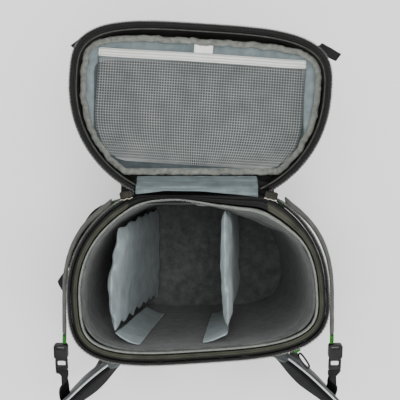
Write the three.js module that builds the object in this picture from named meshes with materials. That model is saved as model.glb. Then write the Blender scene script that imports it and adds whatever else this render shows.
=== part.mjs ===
// A compact camera backpack, standing upright and open, with its lid thrown back.
// Millimetres, +Z up. X runs to the wearer's left and Y away from the wearer's back.
// The origin is the middle of the base, on the ground.
import * as THREE from 'three';
import { mergeVertices } from 'three/addons/utils/BufferGeometryUtils.js';

const radians = THREE.MathUtils.degToRad;

// Body, measured over the zip at the mouth
const bodyHeight = 340;
const bodyHalfWidth = 132.5;
const bodyFrontDepth = 117;
const bodyBackDepth = 70;
const hingeLine = 86.5;
const widestLine = -17.5;
const mouthTurn = 3.7;
const frontPower = 2.1;
const backPower = 3.5;
const liningSquareness = 1;
const wallThickness = 9;
const floorThickness = 12;
const zipWidth = 4;
const zipHeight = 5;
const collarHeight = 10;
const bindingWidth = 2.6;
const bindingDrop = 7;
const liningThickness = 2;

// Lid, a shallow tray behind the hinge
const lidHalfWidth = 132.5;
const lidHingeDepth = 124;
const lidFarDepth = 62;
const lidCentreX = 2.4;
const lidCentreY = 192.8;
const lidTurn = -3.7;
const lidDepth = 36;
const lidWall = 2.5;
const lidFloor = 3.5;
const lidLiningInset = 5.5;
const lidLiningFarInset = 9;
const lidLiningHingeInset = 16;
const lidLiningDrop = 19;
const lidBindingWidth = 3.4;
const lidBindingHeight = 3;
const hingeDip = 6.5;

// Mesh pocket in the lid, in the lid's own turned axes
const pocketHalfWidth = 107;
const pocketLength = 106;
const pocketTop = 26;
const pocketCornerWidth = 33;
const pocketCornerHeight = 52;
const pocketBulge = 6.5;
const pocketThickness = 1.6;
const pocketColumns = 11;
const pocketRows = 6;
const pocketStrand = 0.42;
const bandHeight = 8.5;
const bandThickness = 1.6;
const pullTabWidth = 19.5;
const pullTabLength = 9;
const pullTabPlace = 0.7;

// Hinge cloth between mouth and lid
const hingePanelGap = 12.5;
const hingePanelShift = -3.5;
const hingePanelThickness = 1.6;
const hingePanelFold = 0.9;
const hingePanelStart = 6;

// Dividers
const dividerThickness = 8;
const dividerTopDrop = 14;
const leftDividerTop = -88;
const leftDividerLean = 31;
const rightDividerTop = 28.5;
const rightDividerLean = 24;
const dividerEndGap = 11;
const flapLength = 25;
const flapHeight = 210;
const flapThickness = 2.4;

// Back panel
const panelWidth = 144;
const panelTopDrop = 34;
const panelThickness = 8;
const panelRaise = 46;
const panelSeam = 3;

// Padded carrying straps
const strapWidth = 60;
const strapThickness = 12;
const strapRoot = 75;
const strapRootDrop = 78;
const strapReach = 80;
const strapBack = 72;
const strapDrop = 186;
const webbingThickness = 1.8;
const lowerWebbingWidth = 22;
const lowerWebbingLead = 30;
const lowerAnchorX = 106;
const lowerAnchorZ = 24;

// Side straps and their buckles
const sideWebbingWidth = 14;
const sideStrapReach = 143;
const sideStrapEndY = -66;
const sideStrapAnchorDrop = 22;
const sideStrapFall = 34;
const sideStrapLean = 22;
const strapEndLength = 9;
const buckleLength = 30;
const buckleWidth = 15;
const buckleThickness = 6.5;
const buckleOut = 4;
const buckleFall = radians(14);
const plugShare = 0.45;
const strapEndTwist = 1.35;
const anchorShare = 0.56;
const anchorSewn = 12;
const anchorLift = 6.5;
const anchorSteps = 10;
const greenTabWidth = 8;
const greenTabLength = 6;
const greenShareRight = 0.131;
const greenShareLeft = 0.376;

// Small fittings
const sliderLength = 13;
const sliderWidth = 7.5;
const sliderHeight = 4.5;
const sliderTurn = 12;
const sliderInLeft = 0.5;
const sliderInRight = 4;
const sliderForward = 3;
const ringLength = 21;
const ringWidth = 11;
const ringWire = 2.6;
const ringShare = 0.897;
const ringDrop = 41;
const ringHeading = 35;
const ringStance = 55;
const ringTabLength = 14;
const ringTabWidth = 8;
const lidTabReach = 13;
const lidTabThickness = 4;
const lidTabDrop = 13;

// Stretch pocket on the left side, and the two small ends of webbing beside it
const sidePocketHeight = 215;
const sidePocketRaise = 34;
const sidePocketBulge = 19;
const sidePocketWall = 1.8;
const pointLength = 22;
const pointWidth = 24;
const pointDrop = 68;
const pointShoulder = 0.68;
const sideTabLength = 19;
const sideTabWidth = 12;
const sideTabDrop = 78;

const clearance = 0.3;
const ringStations = 48;
const wavyStations = 64;

const cloth = {
  shell: { color: 0x2d2d2b, roughness: 0.85, metalness: 0 },
  collar: { color: 0x3a3a35, roughness: 0.7, metalness: 0 },
  zip: { color: 0x1d1d1d, roughness: 0.6, metalness: 0 },
  lining: { color: 0x8a9698, roughness: 0.8, metalness: 0 },
  darkLining: { color: 0x4a4c4b, roughness: 0.85, metalness: 0 },
  binding: { color: 0x9a9a96, roughness: 0.8, metalness: 0 },
  net: { color: 0x9b9d9b, roughness: 0.6, metalness: 0 },
  band: { color: 0xd6d7d1, roughness: 0.7, metalness: 0 },
  webbing: { color: 0x242425, roughness: 0.75, metalness: 0 },
  greyWebbing: { color: 0x6d6f6c, roughness: 0.8, metalness: 0 },
  green: { color: 0x3f8f2c, roughness: 0.7, metalness: 0 },
  airMesh: { color: 0x2c2d2f, roughness: 0.95, metalness: 0 },
  plastic: { color: 0x1c1c1d, roughness: 0.4, metalness: 0 },
  bronze: { color: 0x55523f, roughness: 0.4, metalness: 0.8 },
};

const pack = new THREE.Group();
const mix = THREE.MathUtils.lerp;
const vector = (x, y, z) => new THREE.Vector3(x, y, z);

function place(name, geometry, material) {
  const mesh = new THREE.Mesh(geometry, new THREE.MeshStandardMaterial(material));
  mesh.name = name;
  pack.add(mesh);
  return mesh;
}

function geometryOf(points, triangles) {
  const geometry = new THREE.BufferGeometry().setFromPoints(points);
  geometry.setIndex(triangles);
  const merged = mergeVertices(geometry, 1e-4);
  merged.computeVertexNormals();
  return merged;
}

// Reads a column of a table at any share of its length, with a smooth run between rows.
function readTable(rows, share, column) {
  const place = THREE.MathUtils.clamp(share, 0, 1);
  let row = 1;
  while (row < rows.length - 1 && rows[row].at < place) row += 1;
  const before = rows[row - 1];
  const after = rows[row];
  const along = (place - before.at) / (after.at - before.at);
  return mix(before[column], after[column], along * along * (3 - 2 * along));
}

// Half of a rounded D: a superellipse with unlike depths on its two sides.
function roundedD(angle, halfWidth, curvedDepth, straightDepth, squareness = 0) {
  const c = Math.cos(angle);
  const s = Math.sin(angle);
  const power = s > 0 ? frontPower : backPower + squareness;
  const depth = s > 0 ? curvedDepth : straightDepth;
  return {
    across: halfWidth * Math.sign(c) * Math.abs(c) ** (2 / power),
    deep: depth * Math.sign(s) * Math.abs(s) ** (2 / power),
  };
}

// Spreads a closed outline into stations of equal length, each with its outward direction.
function stationsOf(dense, count) {
  const lengths = [0];
  for (let i = 1; i <= dense.length; i += 1) {
    lengths.push(lengths[i - 1] + dense[i % dense.length].distanceTo(dense[i - 1]));
  }
  const total = lengths[dense.length];
  const points = [];
  let span = 1;
  for (let k = 0; k < count; k += 1) {
    const target = (total * k) / count;
    while (lengths[span] < target) span += 1;
    const share = (target - lengths[span - 1]) / (lengths[span] - lengths[span - 1]);
    points.push(dense[span - 1].clone().lerp(dense[span % dense.length], share));
  }
  return points.map((point, k) => {
    const ahead = points[(k + 1) % count];
    const behind = points[(k + count - 1) % count];
    const along = ahead.clone().sub(behind).normalize();
    return { point, outward: vector(along.y, -along.x, 0) };
  });
}

const denseSteps = 720;

function bodyOutline(turnDegrees, inset, count = ringStations) {
  const turn = radians(turnDegrees);
  const dense = [];
  for (let i = 0; i < denseSteps; i += 1) {
    const { across, deep } = roundedD((i / denseSteps) * 2 * Math.PI,
      bodyHalfWidth - inset, bodyFrontDepth - inset, bodyBackDepth - inset);
    const x = across * Math.cos(turn) - deep * Math.sin(turn);
    const y = widestLine + across * Math.sin(turn) + deep * Math.cos(turn);
    dense.push(vector(x, Math.min(y, hingeLine - inset), 0));
  }
  return stationsOf(dense, count);
}

function lidOutline({ side, far, hinge, square }, count = ringStations) {
  const turn = radians(lidTurn);
  const dense = [];
  for (let i = 0; i < denseSteps; i += 1) {
    const { across, deep } = roundedD((-i / denseSteps) * 2 * Math.PI,
      lidHalfWidth - side, lidHingeDepth - side, lidFarDepth - far, square);
    const x = lidCentreX + across * Math.cos(turn) + deep * Math.sin(turn);
    const y = lidCentreY + across * Math.sin(turn) - deep * Math.cos(turn);
    dense.push(vector(x, Math.max(y, hingeLine + 2 * clearance + hinge), 0));
  }
  return stationsOf(dense, count);
}

const ringAt = (stations, grow, z) => stations.map(({ point, outward }, k) => {
  const spread = typeof grow === 'function' ? grow(k, point) : grow;
  const height = typeof z === 'function' ? z(k, point) : z;
  return vector(point.x + outward.x * spread, point.y + outward.y * spread, height);
});

// Joins rings of equal count into one skin. Hubs close its ends, or the last ring meets the first.
function skinOf(rings, startHub, endHub) {
  const count = rings[0].length;
  const points = rings.flat();
  const triangles = [];
  const closed = !startHub;
  const spans = closed ? rings.length : rings.length - 1;
  for (let row = 0; row < spans; row += 1) {
    const low = row * count;
    const high = ((row + 1) % rings.length) * count;
    for (let k = 0; k < count; k += 1) {
      const next = (k + 1) % count;
      triangles.push(low + k, low + next, high + next, low + k, high + next, high + k);
    }
  }
  if (!closed) {
    const start = points.push(startHub) - 1;
    const end = points.push(endHub) - 1;
    const last = (rings.length - 1) * count;
    for (let k = 0; k < count; k += 1) {
      const next = (k + 1) % count;
      triangles.push(start, next, k, end, last + k, last + next);
    }
  }
  return geometryOf(points, triangles);
}

const middleOf = (ring) => ring
  .reduce((sum, point) => sum.add(point), vector(0, 0, 0))
  .divideScalar(ring.length);

// A ring round an outline, from a section of {out, up} corners given anticlockwise.
const hoopOf = (stations, section, base, wave = () => ({ out: 0, up: 0 })) => skinOf(
  section.map(({ out, up }) => ringAt(
    stations,
    (k) => out + wave(k).out,
    (k) => base + up + wave(k).up,
  )),
);

// A rail along an open run of stations, with the same kind of section and closed ends.
function railOf(stations, section, base) {
  const rings = stations.map(({ point, outward }) => section.map(({ out, up }) => vector(
    point.x + outward.x * out,
    point.y + outward.y * out,
    base + up,
  )).reverse());
  return skinOf(rings, middleOf(rings[0]), middleOf(rings[rings.length - 1]));
}

// A strap, tab or cord swept along a path. faces gives the direction that its flat side faces.
function sweepOf(path, faces, section, size) {
  const rings = path.map((point, k) => {
    const ahead = path[Math.min(k + 1, path.length - 1)];
    const behind = path[Math.max(k - 1, 0)];
    const along = ahead.clone().sub(behind).normalize();
    const across = faces(k).clone().cross(along).normalize();
    const through = along.clone().cross(across).normalize();
    const { width, thickness } = size(k);
    return section.map(([a, t]) => point.clone()
      .addScaledVector(across, a * width)
      .addScaledVector(through, t * thickness));
  });
  return skinOf(rings, middleOf(rings[0]), middleOf(rings[rings.length - 1]));
}

const flatSection = [[-0.5, -0.5], [0.5, -0.5], [0.5, 0.5], [-0.5, 0.5]];
const paddedSection = [
  [-0.43, -0.5], [0.43, -0.5], [0.5, -0.25], [0.5, 0.25],
  [0.43, 0.5], [-0.43, 0.5], [-0.5, 0.25], [-0.5, -0.25],
];

const curveThrough = (points, steps) => new THREE.CatmullRomCurve3(points, false, 'centripetal')
  .getPoints(steps);

// A sheet of cloth over a grid of cells, thickened both ways; isOpen leaves a cell cut through.
function sheetOf(columns, rows, surface, thickness, isOpen = () => false) {
  const step = 1e-3;
  const tops = [];
  const bottoms = [];
  for (let j = 0; j <= rows.length - 1; j += 1) {
    for (let i = 0; i <= columns.length - 1; i += 1) {
      const u = columns[i];
      const v = rows[j];
      const point = surface(u, v);
      const alongU = surface(Math.min(1, u + step), v).sub(surface(Math.max(0, u - step), v));
      const alongV = surface(u, Math.min(1, v + step)).sub(surface(u, Math.max(0, v - step)));
      const normal = alongU.cross(alongV).normalize();
      const half = (typeof thickness === 'function' ? thickness(u, v) : thickness) / 2;
      tops.push(point.clone().addScaledVector(normal, half));
      bottoms.push(point.clone().addScaledVector(normal, -half));
    }
  }
  const width = columns.length;
  const top = (i, j) => j * width + i;
  const bottom = (i, j) => tops.length + j * width + i;
  const solid = (i, j) => i >= 0 && j >= 0 && i < width - 1 && j < rows.length - 1
    && !isOpen(i, j);
  const triangles = [];
  const quad = (a, b, c, d) => triangles.push(a, b, c, a, c, d);
  const wall = (i, j, m, n) => quad(bottom(i, j), bottom(m, n), top(m, n), top(i, j));
  for (let j = 0; j < rows.length - 1; j += 1) {
    for (let i = 0; i < width - 1; i += 1) {
      if (!solid(i, j)) continue;
      quad(top(i, j), top(i + 1, j), top(i + 1, j + 1), top(i, j + 1));
      quad(bottom(i, j), bottom(i, j + 1), bottom(i + 1, j + 1), bottom(i + 1, j));
      if (!solid(i, j - 1)) wall(i, j, i + 1, j);
      if (!solid(i + 1, j)) wall(i + 1, j, i + 1, j + 1);
      if (!solid(i, j + 1)) wall(i + 1, j + 1, i, j + 1);
      if (!solid(i - 1, j)) wall(i, j + 1, i, j);
    }
  }
  return geometryOf([...tops, ...bottoms], triangles);
}

const evenly = (count) => Array.from({ length: count + 1 }, (_, i) => i / count);

// A plate cut from an outline, lying in XY and rising from z = 0.
function plateOf(outline, thickness) {
  const geometry = new THREE.ExtrudeGeometry(outline, {
    depth: thickness,
    bevelEnabled: false,
    curveSegments: 4,
  });
  geometry.deleteAttribute('normal');
  geometry.deleteAttribute('uv');
  return mergeVertices(geometry, 1e-4);
}

function roundedPlate(width, length, corner, thickness, holes = []) {
  const outline = new THREE.Shape();
  const x = width / 2;
  const y = length / 2;
  outline.moveTo(-x + corner, -y);
  outline.lineTo(x - corner, -y);
  outline.absarc(x - corner, -y + corner, corner, -Math.PI / 2, 0);
  outline.absarc(x - corner, y - corner, corner, 0, Math.PI / 2);
  outline.absarc(-x + corner, y - corner, corner, Math.PI / 2, Math.PI);
  outline.absarc(-x + corner, -y + corner, corner, Math.PI, 1.5 * Math.PI);
  for (const hole of holes) outline.holes.push(hole);
  return plateOf(outline, thickness);
}

// The padded body
// at is a share of bodyHeight, grow a share of wallThickness, turn a share of mouthTurn.
const bodyLevels = [
  { at: 0, grow: -1.73, turn: 0 },
  { at: 0.012, grow: -1, turn: 0 },
  { at: 0.05, grow: -0.4, turn: 0.05 },
  { at: 0.25, grow: 0.27, turn: 0.25 },
  { at: 0.55, grow: 0.53, turn: 0.55 },
  { at: 0.8, grow: 0.2, turn: 0.8 },
  { at: 0.93, grow: -0.13, turn: 0.95 },
];
const collarBase = bodyHeight - collarHeight;
const panelHeight = bodyHeight - panelTopDrop - panelRaise;
const strapRise = bodyHeight - strapRootDrop;
const sideStrapAnchorZ = bodyHeight - sideStrapAnchorDrop;
const sideStrapEndZ = sideStrapAnchorZ - sideStrapFall;
const ringHeight = bodyHeight - ringDrop;
const pointHeight = bodyHeight - pointDrop;
const sideTabHeight = bodyHeight - sideTabDrop;
const shellInset = zipWidth;
const innerInset = shellInset + wallThickness;
const liningInset = innerInset + clearance + liningThickness;
const liningTop = bodyHeight - bindingDrop - clearance;

const bodyTurnAt = (z) => mouthTurn * Math.min(1, z / collarBase);
const innerRing = (z, extra = 0) => ringAt(bodyOutline(bodyTurnAt(z), innerInset + extra), 0, z);

// Soft dents in the outer cloth: centre angle, height share, depth share of the wall, spread.
const dents = [
  { angle: 20, height: 0.3, depth: 0.4, wide: 26, tall: 0.16 },
  { angle: 158, height: 0.62, depth: 0.33, wide: 22, tall: 0.14 },
  { angle: 65, height: 0.45, depth: 0.37, wide: 20, tall: 0.2 },
  { angle: 118, height: 0.28, depth: 0.35, wide: 24, tall: 0.15 },
  { angle: 345, height: 0.68, depth: 0.29, wide: 18, tall: 0.12 },
];
function dentAt(point, share) {
  const angle = (THREE.MathUtils.radToDeg(Math.atan2(point.y - widestLine, point.x)) + 360) % 360;
  return dents.reduce((sum, dent) => {
    const aside = (angle - dent.angle) / dent.wide;
    const above = (share - dent.height) / dent.tall;
    return sum - dent.depth * wallThickness * Math.exp(-aside * aside - above * above);
  }, 0);
}

const outerRings = bodyLevels.map(({ at, grow, turn }) => {
  const stations = bodyOutline(mouthTurn * turn, shellInset);
  return ringAt(stations, (k, point) => grow * wallThickness + dentAt(point, at), at * bodyHeight);
});
outerRings.push(ringAt(bodyOutline(mouthTurn, shellInset), 0, collarBase));
const innerRings = [1, 0.62, 0.3, 0]
  .map((share) => innerRing(mix(floorThickness, collarBase, share)));
place('body_shell', skinOf([...outerRings, ...innerRings], vector(0, -widestLine / 2, 0),
  vector(0, 0, floorThickness)), cloth.shell);

// The outer cloth's own ring at a height, between the rows that it was skinned from.
function outerRing(z) {
  let row = 1;
  while (row < outerRings.length - 1 && outerRings[row][0].z < z) row += 1;
  const low = outerRings[row - 1];
  const high = outerRings[row];
  const share = (z - low[0].z) / (high[0].z - low[0].z);
  return low.map((point, k) => point.clone().lerp(high[k], share));
}
// A point on the outer cloth at a share of the way round, and the direction that it faces.
function onWall(share, z) {
  const ring = outerRing(z);
  const place = share * ring.length;
  const k = Math.floor(place) % ring.length;
  const next = ring[(k + 1) % ring.length];
  const along = next.clone().sub(ring[k]).normalize();
  return {
    point: ring[k].clone().lerp(next, place - Math.floor(place)),
    outward: vector(along.y, -along.x, 0),
  };
}

// Corners of the padded collar: out as a share of the wall, up as a share of the collar.
const collarSection = [
  { out: -0.02, up: 0.03 }, { out: -0.02, up: 0.62 }, { out: -0.3, up: 0.96 },
  { out: -0.62, up: 1 }, { out: -0.84, up: 0.82 }, { out: -0.84, up: 0.03 },
];
const mouthStations = bodyOutline(mouthTurn, shellInset);
place('rim_band', hoopOf(mouthStations, collarSection.map(({ out, up }) => ({
  out: out * wallThickness,
  up: up * collarHeight,
})), collarBase), cloth.collar);

const zipSection = [
  { out: 0, up: 0 }, { out: 0.9, up: 0.25 }, { out: 0.9, up: 0.8 }, { out: 0, up: 1 },
].map(({ out, up }) => ({
  out: clearance / 2 + out * (zipWidth - clearance / 2),
  up: up * zipHeight,
}));
const zipTop = bodyHeight - zipHeight;
// The zip stops at the hinge, where the cloth runs straight across.
function openRun(stations, onHinge) {
  const first = stations.findIndex((station, k) => !onHinge(station)
    && onHinge(stations[(k + stations.length - 1) % stations.length]));
  const turned = [...stations.slice(first), ...stations.slice(0, first)];
  return turned.filter((station) => !onHinge(station));
}
const bodyHingeTouch = ({ point }) => point.y > hingeLine - shellInset - 1;
const bodyZipRun = openRun(mouthStations, bodyHingeTouch);
place('body_zip', railOf(bodyZipRun, zipSection, zipTop - clearance), cloth.zip);

const bindingSeat = 0.84 * wallThickness + 0.12 * bindingWidth + 2 * clearance;
const bindingSection = [
  { out: 0.12, up: 0 }, { out: 0.12, up: 0.9 }, { out: -0.35, up: 1.05 },
  { out: -1, up: 0.85 }, { out: -1, up: 0 },
].map(({ out, up }) => ({
  out: out * bindingWidth - bindingSeat,
  up: up * bindingDrop,
}));
const bindingWave = (k) => ({ out: 0.2 * Math.sin(k * 1.9), up: 0.5 * Math.sin(k * 2.6) });
place('mouth_binding', hoopOf(mouthStations, bindingSection, bodyHeight - bindingDrop - 0.6,
  bindingWave), cloth.binding);

function bodyLining() {
  const outerShares = [0.04, 0.35, 0.7, 1];
  const bottom = floorThickness + clearance;
  const top = liningTop - 0.9;
  const heights = outerShares.map((share) => mix(bottom, top, share));
  const outer = [innerRing(bottom, clearance + 4), ...heights.map((z) => innerRing(z, clearance))];
  const inner = [...heights].reverse().map((z) => innerRing(
    Math.max(z, bottom + liningThickness + 8), clearance + liningThickness));
  inner.push(innerRing(bottom + liningThickness, clearance + liningThickness));
  return skinOf([...outer, ...inner], vector(0, 0, bottom), vector(0, 0, bottom + liningThickness));
}
place('lining', bodyLining(), cloth.darkLining);

// Where a ring crosses a given x, from its back to its front.
function spanAt(ring, x) {
  const crossings = [];
  ring.forEach((point, k) => {
    const next = ring[(k + 1) % ring.length];
    if ((point.x - x) * (next.x - x) > 0 || point.x === next.x) return;
    crossings.push(mix(point.y, next.y, (x - point.x) / (next.x - point.x)));
  });
  return { back: Math.min(...crossings), front: Math.max(...crossings) };
}

// Back panel, a plain padded sheet on the wearer's side
const panelCushion = (u, v) => {
  const edge = Math.min(u, 1 - u, v, 1 - v);
  const channel = Math.abs(u - 0.5) < 0.06 ? panelSeam : 0;
  return Math.max(2.5, panelThickness * Math.min(1, 0.4 + edge * 6) - channel);
};
// The direction that the wearer's side of the wall faces, and a point off that side.
function backFacing(x, z) {
  const ring = outerRing(z);
  const reach = 5;
  const slope = (spanAt(ring, x + reach).back - spanAt(ring, x - reach).back) / (2 * reach);
  return vector(slope, -1, 0).normalize();
}
const behindWall = (x, z, away) => vector(x, spanAt(outerRing(z), x).back, z)
  .addScaledVector(backFacing(x, z), away);
const panelSurface = (u, v) => behindWall(
  (u - 0.5) * panelWidth,
  panelRaise + v * panelHeight,
  panelCushion(u, v) / 2 + 3 * clearance,
);
const panelColumns = [0, 0.05, 0.14, 0.23, 0.34, 0.44, 0.5, 0.56, 0.66, 0.77, 0.86, 0.95, 1];
const panelRows = [0, 0.04, 0.12, 0.38, 0.72, 0.95, 1,
  ...outerRings.map(([{ z }]) => (z - panelRaise) / panelHeight).filter((v) => v > 0.15 && v < 0.93),
].sort((a, b) => a - b);
place('back_panel', sheetOf(panelColumns, panelRows, panelSurface, panelCushion), cloth.airMesh);

// Dividers
const dividerFoot = floorThickness + liningThickness + 3 * clearance;
const dividerHead = bodyHeight - dividerTopDrop;
// Shift of a divider along its length: at runs from the front wall to the wearer's side.
const leftBow = [
  { at: 0, shift: 8 }, { at: 0.3, shift: 1 }, { at: 0.6, shift: -3 },
  { at: 0.85, shift: -3 }, { at: 1, shift: 2 },
];
const rightBow = [
  { at: 0, shift: -1.5 }, { at: 0.3, shift: -2 }, { at: 0.6, shift: 0 },
  { at: 0.85, shift: 1 }, { at: 1, shift: 0.5 },
];
function dividerSurface({ top, lean, bow }) {
  return (u, v) => {
    const z = mix(dividerFoot, dividerHead, v);
    const crease = 1.6 * Math.sin(9 * u + 7 * v) * v;
    const x = top + lean * (1 - v) ** 1.3 + readTable(bow, u, 'shift') * v + crease;
    const ring = innerRing(z, clearance + liningThickness);
    const half = dividerThickness / 2;
    const front = Math.min(spanAt(ring, x - half).front, spanAt(ring, x + half).front);
    return vector(x, mix(front - 2 * clearance, spanAt(ring, x).back + dividerEndGap, u), z);
  };
}
const dividerPad = (u, v) => dividerThickness
  * Math.min(1, 0.45 + 5 * Math.min(u, 1 - u, v + 0.05, 1 - v));
const leftDivider = dividerSurface({ top: leftDividerTop, lean: leftDividerLean, bow: leftBow });
const rightDivider = dividerSurface({ top: rightDividerTop, lean: rightDividerLean, bow: rightBow });
const dividerColumns = [0, 0.05, 0.2, 0.4, 0.6, 0.8, 0.95, 1];
const dividerRows = [0, 0.05, 0.3, 0.55, 0.8, 0.95, 1];
place('divider_left', sheetOf(dividerColumns, dividerRows, leftDivider, dividerPad), cloth.lining);
place('divider_right', sheetOf(dividerColumns, dividerRows, rightDivider, dividerPad), cloth.lining);

// The bent flap at each divider's near end, which lies towards the middle on the back wall.
function flapSurface(divider, side) {
  const low = dividerHead - 12 - flapHeight;
  return (u, v) => {
    const z = mix(low, dividerHead - 12, v);
    const share = (z - dividerFoot) / (dividerHead - dividerFoot);
    const end = divider(1, share);
    const x = end.x + side * flapLength * u;
    const wall = spanAt(innerRing(z, clearance + liningThickness), x).back;
    const near = end.y - flapThickness / 2 - 2 * clearance;
    const settled = wall + flapThickness / 2 + 3 * clearance;
    return vector(x, mix(near, settled, Math.min(1, u * 1.35) ** 0.8), z);
  };
}
for (const [name, divider, side] of [['left', leftDivider, 1], ['right', rightDivider, -1]]) {
  const surface = flapSurface(divider, side);
  const turned = side > 0 ? surface : (u, v) => surface(1 - u, v);
  place(`divider_flap_${name}`, sheetOf(evenly(4), evenly(3), turned, flapThickness),
    cloth.lining);
}

// Lid tray
const hingeRun = lidLiningHingeInset + hingePanelStart - 1.5;
const lidFloorZ = bodyHeight - lidDepth;
const lidEdge = { side: zipWidth, far: zipWidth, hinge: 0 };
const lidStations = lidOutline(lidEdge);
const lidHingeTouch = ({ point }) => point.y < hingeLine + 2 * clearance + 1;
const lidDipAt = (k) => (lidStations[k].point.y < hingeLine + hingeRun / 2 ? hingeDip : 0);
// Rows of the tray's wall: at is a share of lidDepth below the mouth, in is in wall thicknesses.
const lidOuterRows = [
  { at: 1, in: 4.4 }, { at: 0.95, in: 2.2 }, { at: 0.8, in: 0.8 }, { at: 0.5, in: 0 },
];
const lidInnerRows = [{ at: 0.5, in: 1.2 }, { at: 0.78, in: 2.4 }, { at: 0.9, in: 4.6 }];

function lidShell() {
  const mouth = (k) => bodyHeight - clearance - lidWall - lidDipAt(k);
  const rings = lidOuterRows.map((row) => ringAt(lidStations, -row.in * lidWall,
    bodyHeight - row.at * lidDepth));
  rings.push(ringAt(lidStations, 0, mouth), ringAt(lidStations, -lidWall, mouth));
  rings.push(...lidInnerRows.map((row) => ringAt(lidStations, -row.in * lidWall,
    bodyHeight - row.at * lidDepth)));
  rings[rings.length - 1].forEach((point) => point.setZ(lidFloorZ + lidFloor));
  return skinOf(rings, vector(lidCentreX, lidCentreY - 20, lidFloorZ),
    vector(lidCentreX, lidCentreY - 20, lidFloorZ + lidFloor));
}
place('lid_shell', lidShell(), cloth.shell);
const lidZipRun = openRun(lidStations, lidHingeTouch);
place('lid_zip', railOf(lidZipRun, zipSection, zipTop - clearance), cloth.zip);

// Lining of the lid, a shallow dish with a gathered binding along its edge
const lidLiningEdge = {
  side: zipWidth + lidLiningInset,
  far: zipWidth + lidLiningFarInset,
  hinge: lidLiningHingeInset,
  square: liningSquareness,
};
const liningStations = lidOutline(lidLiningEdge);
const lidLiningTop = bodyHeight - lidLiningDrop;
const lidLiningUnder = lidFloorZ + lidFloor + 2 * clearance;
const lidLiningFloor = lidLiningUnder + liningThickness;
const lidLiningRows = [
  { inset: 15, up: 0 }, { inset: 5, up: 0.2 }, { inset: 0, up: 0.9 },
];
function lidLining() {
  const rise = lidLiningTop - lidLiningUnder;
  const outer = lidLiningRows.map(({ inset, up }) => ringAt(liningStations, -inset,
    lidLiningUnder + up * rise));
  const inner = [...lidLiningRows].reverse().map(({ inset, up }) => ringAt(liningStations,
    -inset - liningThickness, up > 0.5 ? lidLiningUnder + up * rise
      : lidLiningFloor + up * rise));
  return skinOf([...outer, ...inner], vector(lidCentreX, lidCentreY - 20, lidLiningUnder),
    vector(lidCentreX, lidCentreY - 20, lidLiningFloor));
}
place('lid_lining', lidLining(), cloth.lining);

const gatherStations = lidOutline(lidLiningEdge, wavyStations);
const gatherWave = (k) => ({
  out: 0.5 * Math.sin(k * 1.55) + 0.3 * Math.sin(k * 0.61),
  up: 0.7 * Math.sin(k * 1.9 + 1),
});
const gatherSection = [
  { out: -0.05, up: 0 }, { out: -0.05, up: 1 }, { out: -1, up: 1 }, { out: -1, up: 0 },
].map(({ out, up }) => ({ out: out * lidBindingWidth, up: up * lidBindingHeight }));
const gatherBase = lidLiningUnder + 0.9 * (lidLiningTop - lidLiningUnder) + 0.7 + clearance;
place('lid_binding', hoopOf(gatherStations, gatherSection, gatherBase, gatherWave), cloth.binding);

// Mesh pocket, its stiff band and its pull tab
function lidPoint(across, deep, z) {
  const turn = radians(lidTurn);
  return vector(
    lidCentreX + across * Math.cos(turn) - deep * Math.sin(turn),
    lidCentreY + across * Math.sin(turn) + deep * Math.cos(turn),
    z,
  );
}
// Height of the lining's upper face at a point, from how far the point lies inside its edge.
function lidLiningHeight(point) {
  const inset = Math.min(...liningStations.map((station, k) => {
    const next = liningStations[(k + 1) % liningStations.length].point;
    const flat = vector(point.x, point.y, 0);
    const nearest = new THREE.Line3(station.point, next)
      .closestPointToPoint(flat, true, vector(0, 0, 0));
    return nearest.distanceTo(flat);
  }));
  const rise = lidLiningTop - lidLiningUnder;
  const [foot, slope, edge] = lidLiningRows.map((row) => ({
    inset: row.inset + liningThickness,
    z: (row.up > 0.5 ? lidLiningUnder : lidLiningFloor) + row.up * rise,
  }));
  const [near, far] = inset < slope.inset ? [edge, slope] : [slope, foot];
  const share = THREE.MathUtils.clamp((inset - near.inset) / (far.inset - near.inset), 0, 1);
  return mix(near.z, far.z, share);
}
function pocketSurface(u, v) {
  const fromFoot = Math.max(0, pocketCornerHeight - v * pocketLength) / pocketCornerHeight;
  const narrow = pocketCornerWidth * (1 - Math.sqrt(1 - fromFoot * fromFoot));
  const across = (u - 0.5) * 2 * (pocketHalfWidth - narrow);
  const rise = Math.sin(Math.PI * u) ** 0.7;
  const swell = Math.sin(Math.PI * 0.62 * v) ** 0.8;
  const point = lidPoint(across, pocketTop - (1 - v) * pocketLength, 0);
  const seat = lidLiningHeight(point) + pocketThickness / 2 + 2.5 * clearance;
  return point.setZ(seat + pocketBulge * rise * swell);
}
// Grid lines of a net: each cell is a strand, then a hole.
function netLines(cells, strand) {
  const lines = [0];
  const pitch = 1 / (cells + strand);
  for (let i = 0; i < cells; i += 1) lines.push((i + strand) * pitch, (i + 1) * pitch);
  lines.push(1);
  return lines;
}
place('mesh_pocket', sheetOf(
  netLines(pocketColumns, pocketStrand),
  netLines(pocketRows, pocketStrand),
  pocketSurface,
  pocketThickness,
  (i, j) => i % 2 === 1 && j % 2 === 1,
), cloth.net);

const bandFrom = pocketTop + clearance;
function bandRise(u) {
  const across = (u - 0.5) * 2 * pocketHalfWidth;
  const behind = lidLiningHeight(lidPoint(across, bandFrom + bandHeight, 0));
  return Math.max(pocketSurface(u, 1).z, behind + bandThickness / 2 + 2 * clearance);
}
place('pocket_band', sheetOf(evenly(12), evenly(1), (u, v) => lidPoint(
  (u - 0.5) * 2 * pocketHalfWidth,
  bandFrom + v * bandHeight,
  bandRise(u),
), bandThickness), cloth.band);
place('pocket_tab', sheetOf(evenly(2), evenly(1), (u, v) => lidPoint(
  pullTabPlace + (u - 0.5) * pullTabWidth,
  bandFrom + bandHeight + clearance + v * pullTabLength,
  bandRise(0.5) + v,
), bandThickness), cloth.band);

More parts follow.
